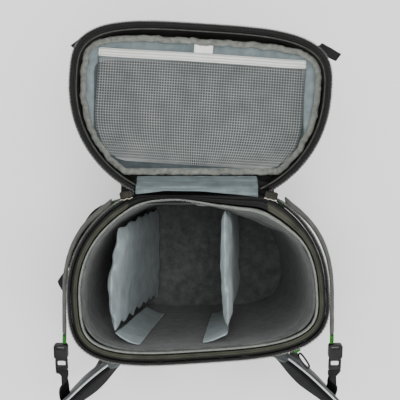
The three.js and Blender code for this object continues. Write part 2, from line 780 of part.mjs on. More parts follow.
// Hinge cloth, lying from the collar over the hinge line and down into the lid, between the
// two ends of the body's zip
const hingeFrom = bodyZipRun[0].point.x + hingePanelGap + hingePanelShift;
const hingeTo = bodyZipRun.at(-1).point.x - hingePanelGap + hingePanelShift;
const hingeFall = bodyHeight - gatherBase - lidBindingHeight / 2;
const hingeRows = [
  { at: 0, back: 0, drop: 0 }, { at: 0.22, back: 0.2, drop: -0.07 },
  { at: 0.5, back: 0.5, drop: 0.28 }, { at: 0.75, back: 0.76, drop: 0.7 },
  { at: 1, back: 1, drop: 1 },
];
place('hinge_panel', sheetOf(evenly(12), evenly(6), (u, v) => {
  const bend = 4 * (u - 0.5) * (u - 0.5);
  const near = (1 - v) * (2.5 * bend + 1.5 * Math.sin(5 * u));
  const fold = v * (1 - v) * 4 * hingePanelFold * Math.sin(v * 16 + 2 * u);
  return vector(
    mix(hingeFrom, hingeTo, u),
    hingeLine - hingePanelStart + readTable(hingeRows, v, 'back') * hingeRun - near * 0.5,
    bodyHeight + 0.9 - readTable(hingeRows, v, 'drop') * hingeFall + fold,
  );
}, hingePanelThickness), cloth.lining);

// Zip sliders, one at each end of the hinge, astride the end of the body's zip
const sliderEnds = [
  { name: 'left', side: -1, station: bodyZipRun[0], inward: sliderInLeft },
  { name: 'right', side: 1, station: bodyZipRun.at(-1), inward: sliderInRight },
];
for (const { name, side, station, inward } of sliderEnds) {
  const block = roundedPlate(sliderLength, sliderWidth, 2, sliderHeight);
  block.rotateZ(radians(-side * sliderTurn));
  const middle = station.point.clone().addScaledVector(station.outward, zipWidth / 2);
  block.translate(middle.x - side * inward, middle.y + sliderForward, bodyHeight + clearance);
  place(`slider_${name}`, block, cloth.bronze);
}

// Black webbing tabs sewn under the zip at the lid's two far corners
// at is a share of the way round the lid. The corners run along its wall and out from it, as
// shares of lidTabReach: first the edge by the wall, then the folded edge.
const lidTabs = [
  {
    name: 'left',
    at: 0.405,
    near: [{ along: -0.46, out: 0.04 }, { along: 0.8, out: 0.39 }],
    far: [{ along: -0.37, out: 0.43 }, { along: 0.78, out: 0.71 }],
  },
  {
    name: 'right',
    at: 0.066,
    near: [{ along: -1.79, out: 0.28 }, { along: 0.15, out: 0.01 }],
    far: [{ along: -1.85, out: 0.94 }, { along: -0.08, out: 0.84 }],
  },
];
function onLid(share) {
  const place = share * ringStations;
  const k = Math.floor(place);
  const next = lidStations[(k + 1) % ringStations].point;
  const along = next.clone().sub(lidStations[k].point).normalize();
  return {
    point: lidStations[k].point.clone().lerp(next, place - k),
    outward: vector(along.y, -along.x, 0),
  };
}
for (const { name, at, near, far } of lidTabs) {
  place(`lid_tab_${name}`, sheetOf(evenly(4), evenly(2), (u, v) => {
    const { point, outward } = onLid(at);
    const reach = (key) => lidTabReach
      * mix(mix(near[0][key], near[1][key], u), mix(far[0][key], far[1][key], u), v);
    return point.addScaledVector(outward, clearance + reach('out'))
      .addScaledVector(vector(-outward.y, outward.x, 0), reach('along'))
      .setZ(bodyHeight - lidTabDrop);
  }, lidTabThickness), cloth.webbing);
}

// Stretch pocket on the left side: a gathered sheet that stands off the wall, open at its top
const pocketFrom = 0.36;
const pocketTo = 0.56;
const pocketSwell = [
  { at: 0, bulge: 0 }, { at: 0.3, bulge: 1 }, { at: 0.46, bulge: 0.7 },
  { at: 0.6, bulge: 1 }, { at: 0.8, bulge: 0.5 }, { at: 1, bulge: 0 },
];
const pocketRise = [
  { at: 0, bulge: 0.1 }, { at: 0.3, bulge: 0.85 }, { at: 0.8, bulge: 1 }, { at: 1, bulge: 0.85 },
];
place('side_pocket', sheetOf(evenly(12), evenly(5), (u, v) => {
  const z = sidePocketRaise + v * sidePocketHeight;
  const { point, outward } = onWall(mix(pocketFrom, pocketTo, u), z);
  const off = 1 + sidePocketWall / 2 + clearance
    + sidePocketBulge * readTable(pocketSwell, u, 'bulge') * readTable(pocketRise, v, 'bulge');
  return point.addScaledVector(outward, off);
}, sidePocketWall), cloth.webbing);

// Points and tabs of webbing below the mouth on the left side
// tip is the width left at the end, and shoulder the share of the reach where it starts to narrow.
const wallTab = (share, z, reach, width, tip, shoulder = 0) => sheetOf(evenly(2), [
  0,
  ...(shoulder ? [shoulder] : []),
  1,
], (u, v) => {
  const { point, outward } = onWall(share, z);
  const along = vector(-outward.y, outward.x, 0);
  const narrow = mix(1, tip, Math.max(0, (v - shoulder) / (1 - shoulder)));
  return point.addScaledVector(outward, 2 * clearance + v * reach)
    .addScaledVector(along, (u - 0.5) * width * narrow);
}, 2 * webbingThickness);
place('side_point', wallTab(0.512, pointHeight, pointLength, pointWidth, 0.12, pointShoulder),
  cloth.webbing);
place('side_tab', wallTab(0.597, sideTabHeight, sideTabLength, sideTabWidth, 0.85), cloth.webbing);

// Side straps, mirrored: side is 1 on the right and -1 on the left
const mirrored = (side, x, y, z) => vector(side * x, y, z);
// Course of a side strap: at from its front end, out, back and down as shares of its reaches.
const sideCourse = [
  { out: 0, back: 0, down: 0 }, { out: 0.5, back: 0.16, down: 0.3 },
  { out: 0.78, back: 0.32, down: 0.5 }, { out: 0.95, back: 0.53, down: 0.7 },
  { out: 1, back: 0.75, down: 0.97 }, { out: 1, back: 1, down: 1 },
];
const greenShare = (side) => (side > 0 ? greenShareRight : greenShareLeft);
function sideStrap(side) {
  const root = onWall(greenShare(side), sideStrapAnchorZ);
  const start = root.point
    .addScaledVector(root.outward, greenTabLength + webbingThickness + 4 * clearance);
  const points = sideCourse.map(({ out, back, down }) => vector(
    mix(start.x, side * sideStrapReach, out),
    mix(start.y, sideStrapEndY, back),
    mix(sideStrapAnchorZ, sideStrapEndZ, down),
  ));
  const path = curveThrough(points, 14);
  const faces = (k) => {
    const ahead = path[Math.min(k + 1, path.length - 1)];
    const along = ahead.clone().sub(path[Math.max(k - 1, 0)]).normalize();
    const outward = vector(along.y, -along.x, 0).multiplyScalar(-side).normalize();
    return outward.multiplyScalar(Math.cos(radians(sideStrapLean)))
      .add(vector(0, 0, Math.sin(radians(sideStrapLean))));
  };
  return sweepOf(path, faces, flatSection, () => ({
    width: sideWebbingWidth,
    thickness: webbingThickness,
  }));
}
// Buckle parts run along the strap's own line, which falls gently towards the wearer.
const buckleStart = sideStrapEndY - strapEndLength - 6 * clearance;
function alongBuckle(geometry, side, from) {
  geometry.rotateX(buckleFall);
  geometry.translate(
    side * (sideStrapReach + buckleOut),
    buckleStart - from * Math.cos(buckleFall),
    sideStrapEndZ - from * Math.sin(buckleFall),
  );
  return geometry;
}
const socketLength = buckleLength * (1 - plugShare);
const plugLength = buckleLength * plugShare;
function buckleSocket(side) {
  const window = new THREE.Path();
  const half = buckleWidth * 0.27;
  window.moveTo(-half, socketLength * 0.5 - 5.5);
  window.lineTo(-half, socketLength * 0.5 - 2.6);
  window.lineTo(half, socketLength * 0.5 - 2.6);
  window.lineTo(half, socketLength * 0.5 - 5.5);
  const block = roundedPlate(buckleWidth, socketLength, 3, buckleThickness, [window]);
  block.translate(0, -socketLength / 2, -buckleThickness / 2);
  return alongBuckle(block, side, 0);
}
function bucklePlug(side) {
  const window = new THREE.Path();
  const half = buckleWidth * 0.28;
  window.moveTo(-half, -plugLength * 0.12);
  window.lineTo(-half, plugLength * 0.3);
  window.lineTo(half, plugLength * 0.3);
  window.lineTo(half, -plugLength * 0.12);
  const block = roundedPlate(buckleWidth * 0.9, plugLength, 2, buckleThickness * 0.6, [window]);
  block.translate(0, -plugLength / 2, -buckleThickness * 0.3);
  return alongBuckle(block, side, socketLength + clearance);
}
const plugEnd = buckleStart - (buckleLength + 2 * clearance) * Math.cos(buckleFall);
const plugEndZ = sideStrapEndZ - (buckleLength + 2 * clearance) * Math.sin(buckleFall);

// Carrying straps: each lies in an upright plane and stands on edge, its padded face to the
// wearer. out, back and drop are shares of strapReach, strapBack and strapDrop.
const strapCourse = [
  { out: 0, back: 0, drop: 0, facing: 86, lean: 0, width: 0.92, thick: 0.8 },
  { out: 0.1, back: 0.035, drop: 0, facing: 76, lean: 4, width: 0.96, thick: 1 },
  { out: 0.25, back: 0.15, drop: 0, facing: 58, lean: 9, width: 1, thick: 1 },
  { out: 0.54, back: 0.48, drop: 0.025, facing: 46, lean: 16, width: 1, thick: 1 },
  { out: 0.8, back: 0.78, drop: 0.12, facing: 45, lean: 20, width: 1, thick: 1 },
  { out: 0.96, back: 0.96, drop: 0.31, facing: 45, lean: 15, width: 0.98, thick: 1 },
  { out: 1, back: 1, drop: 0.54, facing: 45, lean: 8, width: 0.94, thick: 1 },
  { out: 0.94, back: 0.94, drop: 0.79, facing: 46, lean: 2, width: 0.84, thick: 0.9 },
  { out: 0.8, back: 0.8, drop: 1, facing: 48, lean: -4, width: 0.62, thick: 0.7 },
];
// The root lies flat on the wall, just beside the back panel.
const strapStarts = Object.fromEntries([1, -1].map((side) => [side, behindWall(
  side * strapRoot,
  strapRise,
  strapThickness / 2 + 3 * clearance,
).y]));
const strapPoint = (side, { out, back, drop }) => mirrored(
  side,
  strapRoot + out * strapReach,
  strapStarts[side] - back * strapBack,
  strapRise - drop * strapDrop,
);
const strapSteps = 18;
const strapRows = strapCourse.map((row, k) => ({ ...row, at: k / (strapCourse.length - 1) }));
const strapThrough = (share) => strapThickness * readTable(strapRows, share, 'thick');
function strapFacing(side, share) {
  const facing = radians(readTable(strapRows, share, 'facing'));
  const lean = radians(readTable(strapRows, share, 'lean'));
  return mirrored(side, Math.cos(facing) * Math.cos(lean), Math.sin(facing) * Math.cos(lean),
    -Math.sin(lean));
}
const strapCurve = (side) => new THREE.CatmullRomCurve3(
  strapCourse.map((row) => strapPoint(side, row)),
  false,
  'centripetal',
);
function shoulderStrap(side) {
  const curve = strapCurve(side);
  const path = evenly(strapSteps).map((share) => curve.getPoint(share));
  return sweepOf(path, (k) => strapFacing(side, k / strapSteps), paddedSection, (k) => ({
    width: strapWidth * readTable(strapRows, k / strapSteps, 'width'),
    thickness: strapThrough(k / strapSteps),
  }));
}
function lowerWebbing(side) {
  const curve = strapCurve(side);
  const end = curve.getPoint(1);
  const along = end.clone().sub(curve.getPoint(1 - 1 / strapSteps)).normalize();
  const wall = backFacing(side * lowerAnchorX, lowerAnchorZ);
  const foot = behindWall(side * lowerAnchorX, lowerAnchorZ, 4 * clearance + webbingThickness / 2);
  const start = end.clone().addScaledVector(along, 6 * clearance);
  const path = curveThrough([
    start,
    start.clone().addScaledVector(along, lowerWebbingLead),
    foot.clone().addScaledVector(wall, 24).add(vector(side * 6, 0, 20)),
    foot.clone().addScaledVector(wall, 3).add(vector(0, 0, 7)),
    foot,
  ], 10);
  const first = strapFacing(side, 1);
  const last = wall.clone().negate();
  return sweepOf(path, (k) => first.clone().lerp(last, k / 10).normalize(), flatSection, () => ({
    width: lowerWebbingWidth,
    thickness: webbingThickness,
  }));
}
// Wide webbing from the buckle back to the padded strap, sewn flat along its outer face
function anchorWebbing(side) {
  const curve = strapCurve(side);
  const facing = strapFacing(side, anchorShare);
  const along = curve.getTangent(anchorShare);
  const start = mirrored(side, sideStrapReach + buckleOut, plugEnd - clearance, plugEndZ);
  const end = curve.getPoint(anchorShare)
    .addScaledVector(facing, (strapThrough(anchorShare) + webbingThickness) / 2 + 2 * clearance);
  const turn = end.clone().addScaledVector(along, -anchorSewn);
  const path = curveThrough([
    start,
    start.clone().lerp(turn, 0.35).add(vector(0, -2, 2)),
    turn.addScaledVector(facing, anchorLift),
    end,
  ], anchorSteps);
  const up = vector(0, 0, 1);
  const faces = (k) => up.clone().lerp(facing, Math.min(1, k / (0.5 * anchorSteps))).normalize();
  return sweepOf(path, faces, flatSection, () => ({
    width: sideWebbingWidth,
    thickness: webbingThickness,
  }));
}
// Green loops where the side straps leave the front seams, and the folded ends at the buckles
const greenTab = (side) => wallTab(greenShare(side), sideStrapAnchorZ, greenTabLength,
  greenTabWidth, 1);
function strapEnd(side) {
  const plate = roundedPlate(sideWebbingWidth, strapEndLength, 1.5, 2 * webbingThickness);
  plate.translate(0, -strapEndLength / 2, -webbingThickness);
  plate.rotateY(side * strapEndTwist);
  plate.translate(side * sideStrapReach, sideStrapEndY - 2.5 * clearance, sideStrapEndZ);
  return plate;
}
for (const [name, side] of [['right', 1], ['left', -1]]) {
  place(`green_tab_${name}`, greenTab(side), cloth.green);
  place(`side_strap_${name}`, sideStrap(side), cloth.greyWebbing);
  place(`strap_end_${name}`, strapEnd(side), cloth.green);
  place(`buckle_socket_${name}`, buckleSocket(side), cloth.plastic);
  place(`buckle_plug_${name}`, bucklePlug(side), cloth.plastic);
  place(`anchor_webbing_${name}`, anchorWebbing(side), cloth.webbing);
  place(`shoulder_strap_${name}`, shoulderStrap(side), cloth.airMesh);
  place(`lower_webbing_${name}`, lowerWebbing(side), cloth.webbing);
}

// Oval ring on its tab, at the root of the right strap
function ovalRing() {
  const straight = (ringLength - ringWidth) / 2;
  const radius = (ringWidth - ringWire) / 2;
  const middle = [];
  const turns = 12;
  for (let k = 0; k < turns; k += 1) {
    const angle = (k / turns) * 2 * Math.PI;
    middle.push(vector(
      radius * Math.cos(angle),
      radius * Math.sin(angle) + straight * Math.sign(Math.sin(angle) || 0),
      0,
    ));
  }
  const rings = middle.map((point, k) => {
    const ahead = middle[(k + 1) % turns];
    const along = ahead.clone().sub(middle[(k + turns - 1) % turns]).normalize();
    const out = vector(along.y, -along.x, 0);
    return evenly(6).slice(0, 6).map((share) => point.clone()
      .addScaledVector(out, Math.cos(share * 2 * Math.PI) * ringWire / 2)
      .add(vector(0, 0, -Math.sin(share * 2 * Math.PI) * ringWire / 2)));
  });
  return skinOf(rings);
}
const ringRoot = onWall(ringShare, ringHeight);
place('ring_tab', wallTab(ringShare, ringHeight, ringTabLength, ringTabWidth, 0.9), cloth.green);
const ring = ovalRing();
ring.rotateY(radians(ringStance));
ring.rotateZ(radians(ringHeading));
const ringMiddle = ringRoot.point
  .addScaledVector(ringRoot.outward, ringTabLength + 4 * clearance)
  .add(vector(Math.sin(radians(ringHeading)), -Math.cos(radians(ringHeading)), 0)
    .multiplyScalar(ringLength / 2));
ring.translate(ringMiddle.x, ringMiddle.y, ringHeight);
place('d_ring', ring, cloth.plastic);

export default pack;
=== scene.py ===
import math

import bmesh
import bpy
from mathutils import Matrix, Vector, noise


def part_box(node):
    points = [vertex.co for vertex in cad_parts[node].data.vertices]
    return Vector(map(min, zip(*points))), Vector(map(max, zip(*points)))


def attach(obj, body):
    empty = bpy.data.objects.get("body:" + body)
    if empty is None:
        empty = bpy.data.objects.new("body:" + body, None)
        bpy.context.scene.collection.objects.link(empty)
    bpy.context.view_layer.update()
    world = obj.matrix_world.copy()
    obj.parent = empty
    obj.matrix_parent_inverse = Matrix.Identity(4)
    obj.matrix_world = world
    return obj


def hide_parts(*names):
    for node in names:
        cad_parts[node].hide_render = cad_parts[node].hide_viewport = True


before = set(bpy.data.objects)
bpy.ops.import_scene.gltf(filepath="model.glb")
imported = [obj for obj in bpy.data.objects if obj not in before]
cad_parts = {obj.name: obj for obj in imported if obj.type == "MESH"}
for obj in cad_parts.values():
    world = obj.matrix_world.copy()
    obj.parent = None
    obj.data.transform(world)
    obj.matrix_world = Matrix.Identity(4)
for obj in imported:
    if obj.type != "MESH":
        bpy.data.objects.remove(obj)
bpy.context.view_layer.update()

MM = 0.001

# Camera, straight above the open mouth
CAMERA_PLACE = Vector((2, 77, 1140)) * MM
LENS = 72
camera = bpy.data.objects.new("camera", bpy.data.cameras.new("camera"))
camera.data.lens = LENS
camera.data.sensor_width = 36
camera.location = CAMERA_PLACE
bpy.context.scene.collection.objects.link(camera)
bpy.context.scene.camera = camera

# Plan of the mouth and the lid, as the solids have them
HALF_WIDTH = 132.5 * MM
FRONT_DEPTH = 117 * MM
BACK_DEPTH = 70 * MM
HINGE_LINE = 86.5 * MM
WIDEST_LINE = -17.5 * MM
FRONT_POWER = 2.1
BACK_POWER = 3.5
MOUTH_TURN = math.radians(3.7)
MOUTH_TOP = 340 * MM
ZIP_WIDTH = 4 * MM
LID_CENTRE = Vector((2.4, 192.8, 0)) * MM
LID_TURN = math.radians(-3.7)
LID_NEAR = 124 * MM
LID_FAR = 62 * MM
HINGE_GAP = 0.6 * MM

# Net pocket in the lid
POCKET_HALF = 107 * MM
POCKET_LENGTH = 106 * MM
POCKET_TOP = 26 * MM
POCKET_CORNER = Vector((33, 52)) * MM
NET_COLUMNS = 80
NET_ROWS = 38
NET_STRAND = 0.46 * MM
BAND_HEIGHT = 8.5 * MM


# Shader maths

class Amount:
    """A shader socket that Python's operators work on."""

    def __init__(self, tree, socket):
        self.tree = tree
        self.socket = socket

    def math(self, operation, *values):
        node = self.tree.nodes.new("ShaderNodeMath")
        node.operation = operation
        for place, value in zip(node.inputs, values):
            plug(self.tree, place, value)
        return Amount(self.tree, node.outputs[0])

    def __add__(self, other):
        return self.math("ADD", self, other)

    def __radd__(self, other):
        return self.math("ADD", other, self)

    def __sub__(self, other):
        return self.math("SUBTRACT", self, other)

    def __rsub__(self, other):
        return self.math("SUBTRACT", other, self)

    def __mul__(self, other):
        return self.math("MULTIPLY", self, other)

    def __rmul__(self, other):
        return self.math("MULTIPLY", other, self)

    def sine(self):
        return self.math("SINE", self)

    def above(self, limit):
        return self.math("GREATER_THAN", self, limit)

    def power(self, exponent):
        return self.math("POWER", self, exponent)


def plug(tree, place, value):
    if isinstance(value, Amount):
        tree.links.new(value.socket, place)
    else:
        place.default_value = value


def tone(red, green, blue):
    """A colour from its 0 to 255 screen values."""
    return tuple((channel / 255) ** 2.2 for channel in (red, green, blue)) + (1,)


class Finish:
    """A material of the pack, with the record's slot that it belongs to."""

    def __init__(self, name, slot, **constants):
        self.slot = slot
        self.material = bpy.data.materials.new(name)
        self.material.use_nodes = True
        self.tree = self.material.node_tree
        self.shader = self.tree.nodes["Principled BSDF"]
        for socket, value in constants.items():
            self.shader.inputs[socket.replace("_", " ")].default_value = value

    def node(self, kind, settings=None, inputs=None, output=0):
        node = self.tree.nodes.new(kind)
        for name, value in (settings or {}).items():
            setattr(node, name, value)
        for place, value in (inputs or {}).items():
            plug(self.tree, node.inputs[place], value)
        return Amount(self.tree, node.outputs[output])

    def feed(self, **values):
        for socket, value in values.items():
            plug(self.tree, self.shader.inputs[socket.replace("_", " ")], value)

    def place(self):
        return self.node("ShaderNodeTexCoord", output=3)

    def axes(self):
        split = self.tree.nodes.new("ShaderNodeSeparateXYZ")
        plug(self.tree, split.inputs[0], self.place())
        return [Amount(self.tree, socket) for socket in split.outputs]

    def cloud(self, size, detail=3, roughness=0.55):
        return self.node("ShaderNodeTexNoise", inputs={
            "Vector": self.place(),
            "Scale": 1 / size,
            "Detail": detail,
            "Roughness": roughness,
        })

    def blend(self, share, low, high):
        return self.node("ShaderNodeMix", {"data_type": "RGBA"}, {0: share, 6: low, 7: high}, 2)

    def bump(self, height, depth, under=None):
        inputs = {"Height": height, "Distance": depth, "Strength": 1.0}
        if under:
            inputs["Normal"] = under
        return self.node("ShaderNodeBump", inputs=inputs)


def woven(name, slot, dark, light, rough, pitch, depth, blotch, fuzz, sheen=0.0):
    """Woven cloth: crossing threads, a soft uneven tone and fine fuzz."""
    finish = Finish(name, slot, Sheen_Weight=sheen, Sheen_Roughness=0.5, Specular_IOR_Level=0.18)
    turn = 2 * math.pi / pitch
    x, y, z = finish.axes()
    threads = (x * turn).sine() + (y * turn).sine() + (z * turn).sine()
    patches = finish.cloud(blotch)
    grain = finish.cloud(0.9 * MM, 2)
    share = patches * 1.5 - 0.25 + (grain - 0.5) * 0.5
    finish.feed(
        Base_Color=finish.blend(share.math("MAXIMUM", share, 0), dark, light),
        Roughness=rough + (grain - 0.5) * 0.2,
        Normal=finish.bump(threads * 0.17 + 0.5, depth, finish.bump(grain, fuzz)),
    )
    return finish


def dimpled(name, slot, dark, light, rough, pitch, depth):
    """Spacer mesh: small round holes in a soft dark cloth."""
    finish = Finish(name, slot, Specular_IOR_Level=0.12)
    cells = finish.node("ShaderNodeTexVoronoi", {"feature": "F1"}, {
        "Vector": finish.place(),
        "Scale": 1 / pitch,
        "Randomness": 0.35,
    })
    holes = cells.math("SMOOTH_MIN", cells, 0.55, 0.2)
    share = holes * 1.4 + (finish.cloud(14 * MM) - 0.5) * 0.6
    finish.feed(
        Base_Color=finish.blend(share.math("MAXIMUM", share, 0), dark, light),
        Roughness=rough + (finish.cloud(2 * MM) - 0.5) * 0.2,
        Normal=finish.bump(holes, depth),
    )
    return finish


def moulded(name, slot, dark, light, rough, grain_size, depth, metal=0.0):
    """Moulded or cast small parts, with a fine grain and rubbed patches."""
    finish = Finish(name, slot, Metallic=metal, Specular_IOR_Level=0.25)
    rubbed = finish.cloud(6 * MM, 4, 0.6)
    grain = finish.cloud(grain_size, 2)
    share = (rubbed - 0.4) * 2
    finish.feed(
        Base_Color=finish.blend(share.math("MAXIMUM", share, 0), dark, light),
        Roughness=rough + (rubbed - 0.5) * 0.3,
        Normal=finish.bump(grain, depth),
    )
    return finish


shell = woven("shell_nylon", "shell", tone(20, 20, 19), tone(33, 33, 31), 0.72, 0.9 * MM, 0.12 * MM,
    30 * MM, 0.1 * MM)
roll = woven("olive_satin", "collar", tone(33, 34, 28), tone(60, 61, 52), 0.5, 0.8 * MM, 0.05 * MM,
    18 * MM, 0.04 * MM)
tape = woven("zip_tape", "zip", tone(14, 14, 14), tone(26, 26, 26), 0.7, 0.8 * MM, 0.08 * MM,
    9 * MM, 0.05 * MM)
tooth = moulded("zip_coil", "zip", tone(74, 74, 72), tone(128, 128, 124), 0.4, 1 * MM, 0.02 * MM)
blue = woven("blue_grey_lining", "lining", tone(78, 88, 90), tone(112, 122, 124), 0.68, 0.8 * MM,
    0.05 * MM, 12 * MM, 0.05 * MM, 0.05)
pad = woven("divider_fleece", "lining", tone(104, 116, 119), tone(144, 155, 157), 0.85, 1.1 * MM,
    0.05 * MM, 18 * MM, 0.16 * MM, 0.1)
pile = woven("dark_pile", "dark_lining", tone(60, 62, 61), tone(96, 99, 97), 0.92, 1.4 * MM,
    0.1 * MM, 10 * MM, 0.3 * MM, 0.1)
edging = woven("grey_edging", "binding", tone(70, 72, 69), tone(116, 118, 112), 0.8, 1.2 * MM,
    0.14 * MM, 5 * MM, 0.1 * MM)
thread = woven("pale_thread", "binding", tone(112, 118, 116), tone(150, 155, 152), 0.7, 0.6 * MM,
    0.04 * MM, 4 * MM, 0.04 * MM)
knit = woven("grey_net", "net", tone(100, 103, 102), tone(136, 138, 136), 0.65, 0.9 * MM, 0.05 * MM,
    20 * MM, 0.05 * MM)
elastic = woven("white_elastic", "band", tone(196, 198, 192), tone(222, 223, 218), 0.7, 0.9 * MM,
    0.08 * MM, 12 * MM, 0.05 * MM)
dots = woven("band_stitches", "band", tone(50, 52, 51), tone(84, 86, 83), 0.8, 0.6 * MM,
    0.03 * MM, 4 * MM, 0.03 * MM)
web = woven("black_webbing", "webbing", tone(17, 17, 18), tone(32, 32, 32), 0.7, 1.6 * MM, 0.3 * MM,
    10 * MM, 0.06 * MM)
grey_web = woven("grey_webbing", "grey_webbing", tone(52, 53, 51), tone(88, 89, 85), 0.75,
    1.5 * MM, 0.3 * MM, 8 * MM, 0.06 * MM)
green = woven("green_grosgrain", "green", tone(22, 70, 14), tone(42, 108, 26), 0.65, 1 * MM,
    0.12 * MM, 5 * MM, 0.05 * MM)
slate = woven("slate_nylon", "strap_pad", tone(46, 49, 50), tone(78, 82, 83), 0.66, 0.8 * MM,
    0.08 * MM, 20 * MM, 0.08 * MM)
spacer = dimpled("strap_mesh", "strap_pad", tone(7, 7, 8), tone(24, 24, 25), 0.9, 2.6 * MM,
    0.5 * MM)
back_mesh = dimpled("back_mesh", "air_mesh", tone(14, 14, 15), tone(44, 45, 46), 0.9, 3.4 * MM,
    0.7 * MM)
piping = woven("white_piping", "strap_pad", tone(150, 153, 152), tone(190, 192, 190), 0.7,
    0.9 * MM, 0.06 * MM, 6 * MM, 0.05 * MM)
lid_cord = woven("grey_piping", "shell", tone(40, 41, 39), tone(70, 71, 68), 0.7, 0.9 * MM,
    0.08 * MM, 6 * MM, 0.05 * MM)
plastic = moulded("satin_plastic", "buckle", tone(8, 8, 9), tone(24, 24, 26), 0.42, 0.7 * MM,
    0.02 * MM)
bronze = moulded("worn_bronze", "slider", tone(22, 21, 15), tone(50, 47, 36), 0.5, 1.2 * MM,
    0.03 * MM, 0.3)
bright = moulded("rubbed_metal", "slider", tone(128, 124, 108), tone(206, 202, 188), 0.3, 1 * MM,
    0.02 * MM, 0.9)


# Making pieces

HELD = 45

def piece(name, mesh, *finishes, replaces=()):
    """Puts a finished mesh in the scene, on the pack's body."""
    data = bpy.data.meshes.new(name)
    for face in mesh.faces:
        face.smooth = True
    mesh.to_mesh(data)
    mesh.free()
    made = bpy.data.objects.new(name, data)
    bpy.context.scene.collection.objects.link(made)
    for finish in finishes:
        data.materials.append(finish.material)
    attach(made, "root")
    if replaces:
        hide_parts(*replaces)
    return made


def rounded(made, levels=1):
    """A live subdivision, the same on screen and in the render."""
    smoothing = made.modifiers.new("rounded", "SUBSURF")
    smoothing.levels = levels
    smoothing.render_levels = levels
    return made


def walled(made, thickness, offset=0.0):
    wall = made.modifiers.new("walled", "SOLIDIFY")
    wall.thickness = thickness
    wall.offset = offset
    return made


def settled(made):
    """Turns an object's live modifiers into its mesh."""
    graph = bpy.context.evaluated_depsgraph_get()
    shaped = bpy.data.meshes.new_from_object(made.evaluated_get(graph))
    made.modifiers.clear()
    made.data = shaped
    return made


def cad_copy(node, crease_from=None, crease=0.9):
    """A merged copy of a solid, with quads where it can have them."""
    mesh = bmesh.new()
    mesh.from_mesh(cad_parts[node].data)
    bmesh.ops.remove_doubles(mesh, verts=mesh.verts, dist=0.01 * MM)
    bmesh.ops.join_triangles(mesh, faces=mesh.faces, angle_face_threshold=math.radians(50),
        angle_shape_threshold=math.radians(70))
    if crease_from is not None:
        layer = mesh.edges.layers.float.new("crease_edge")
        for edge in mesh.edges:
            if edge.calc_face_angle(0) > math.radians(crease_from):
                edge[layer] = crease
    return mesh


def refined(mesh, levels):
    """The mesh after subdivision, ready to be pushed about."""
    data = bpy.data.meshes.new("refining")
    mesh.to_mesh(data)
    mesh.free()
    holder = bpy.data.objects.new("refining", data)
    bpy.context.scene.collection.objects.link(holder)
    rounded(holder, levels)
    graph = bpy.context.evaluated_depsgraph_get()
    fine = bmesh.new()
    fine.from_object(holder, graph)
    bpy.data.objects.remove(holder)
    bpy.data.meshes.remove(data)
    return fine


def crumple(mesh, depth, size, seed=0.0, stretch=(1, 1, 1)):
    """Pushes a cloth's points in and out by a smooth noise; stretch draws its folds out."""
    mesh.normal_update()
    reach = Vector(stretch)
    moves = []
    for vertex in mesh.verts:
        place = vertex.co * reach / size + Vector((seed, seed * 1.7, -seed))
        moves.append(vertex.normal * depth * noise.noise(place))
    for vertex, move in zip(mesh.verts, moves):
        vertex.co += move
    return mesh


def grid_of(columns, rows, surface):
    """A grid whose points are placed by surface, from 0 to columns and 0 to rows."""
    mesh = bmesh.new()
    bmesh.ops.create_grid(mesh, x_segments=columns, y_segments=rows, size=0.5)
    for vertex in mesh.verts:
        across = round((vertex.co.x + 0.5) * columns)
        along = round((vertex.co.y + 0.5) * rows)
        vertex.co = surface(across, along)
    return mesh


def cord(name, points, radius, finish, cyclic=False, curved=True):
    """Piping or wire through points."""
    data = bpy.data.curves.new(name, "CURVE")
    data.dimensions = "3D"
    data.bevel_depth = radius
    data.bevel_resolution = 2
    data.use_fill_caps = True
    data.resolution_u = 4
    spline = data.splines.new("NURBS" if curved else "POLY")
    spline.points.add(len(points) - 1)
    for place, point in zip(spline.points, points):
        place.co = (*point, 1)
    spline.use_cyclic_u = cyclic
    if curved:
        spline.order_u = 4
        spline.use_endpoint_u = True
    made = bpy.data.objects.new(name, data)
    bpy.context.scene.collection.objects.link(made)
    data.materials.append(finish.material)
    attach(made, "root")
    return made


def swollen(made, voxel, pressure, cap):
    """Fills a pad with the cloth solver. No point moves further than cap."""
    even = made.modifiers.new("even", "REMESH")
    even.mode = "VOXEL"
    even.voxel_size = voxel
    settled(made)
    start = [vertex.co.copy() for vertex in made.data.vertices]
    solver = made.modifiers.new("swell", "CLOTH")
    solver.settings.use_pressure = True
    solver.settings.uniform_pressure_force = pressure
    solver.settings.effector_weights.gravity = 0
    for step in range(1, 21):
        bpy.context.scene.frame_set(step)
    graph = bpy.context.evaluated_depsgraph_get()
    shaped = made.evaluated_get(graph).to_mesh()
    moved = [vertex.co.copy() for vertex in shaped.vertices]
    made.modifiers.remove(solver)
    for vertex, origin, place in zip(made.data.vertices, start, moved):
        step = place - origin
        if step.length > cap:
            step *= cap / step.length
        vertex.co = origin + step
    bpy.context.scene.frame_set(1)
    for face in made.data.polygons:
        face.use_smooth = True
    return made


# Outlines

def rounded_d(angle, half, curved, straight, squareness=0):
    c = math.cos(angle)
    s = math.sin(angle)
    power = FRONT_POWER if s > 0 else BACK_POWER + squareness
    depth = curved if s > 0 else straight
    return (math.copysign(half * abs(c) ** (2 / power), c),
            math.copysign(depth * abs(s) ** (2 / power), s))


def stations_of(dense, count):
    """Points spread evenly round an outline, each with its outward direction."""
    lengths = [0.0]
    for here, there in zip(dense, dense[1:] + dense[:1]):
        lengths.append(lengths[-1] + (there - here).length)
    places = []
    span = 0
    for k in range(count):
        target = lengths[-1] * k / count
        while lengths[span + 1] < target:
            span += 1
        share = (target - lengths[span]) / (lengths[span + 1] - lengths[span])
        places.append(dense[span].lerp(dense[(span + 1) % len(dense)], share))
    result = []
    for k, point in enumerate(places):
        along = (places[(k + 1) % count] - places[k - 1]).normalized()
        result.append((point, Vector((along.y, -along.x, 0))))
    return result


DENSE = 1440


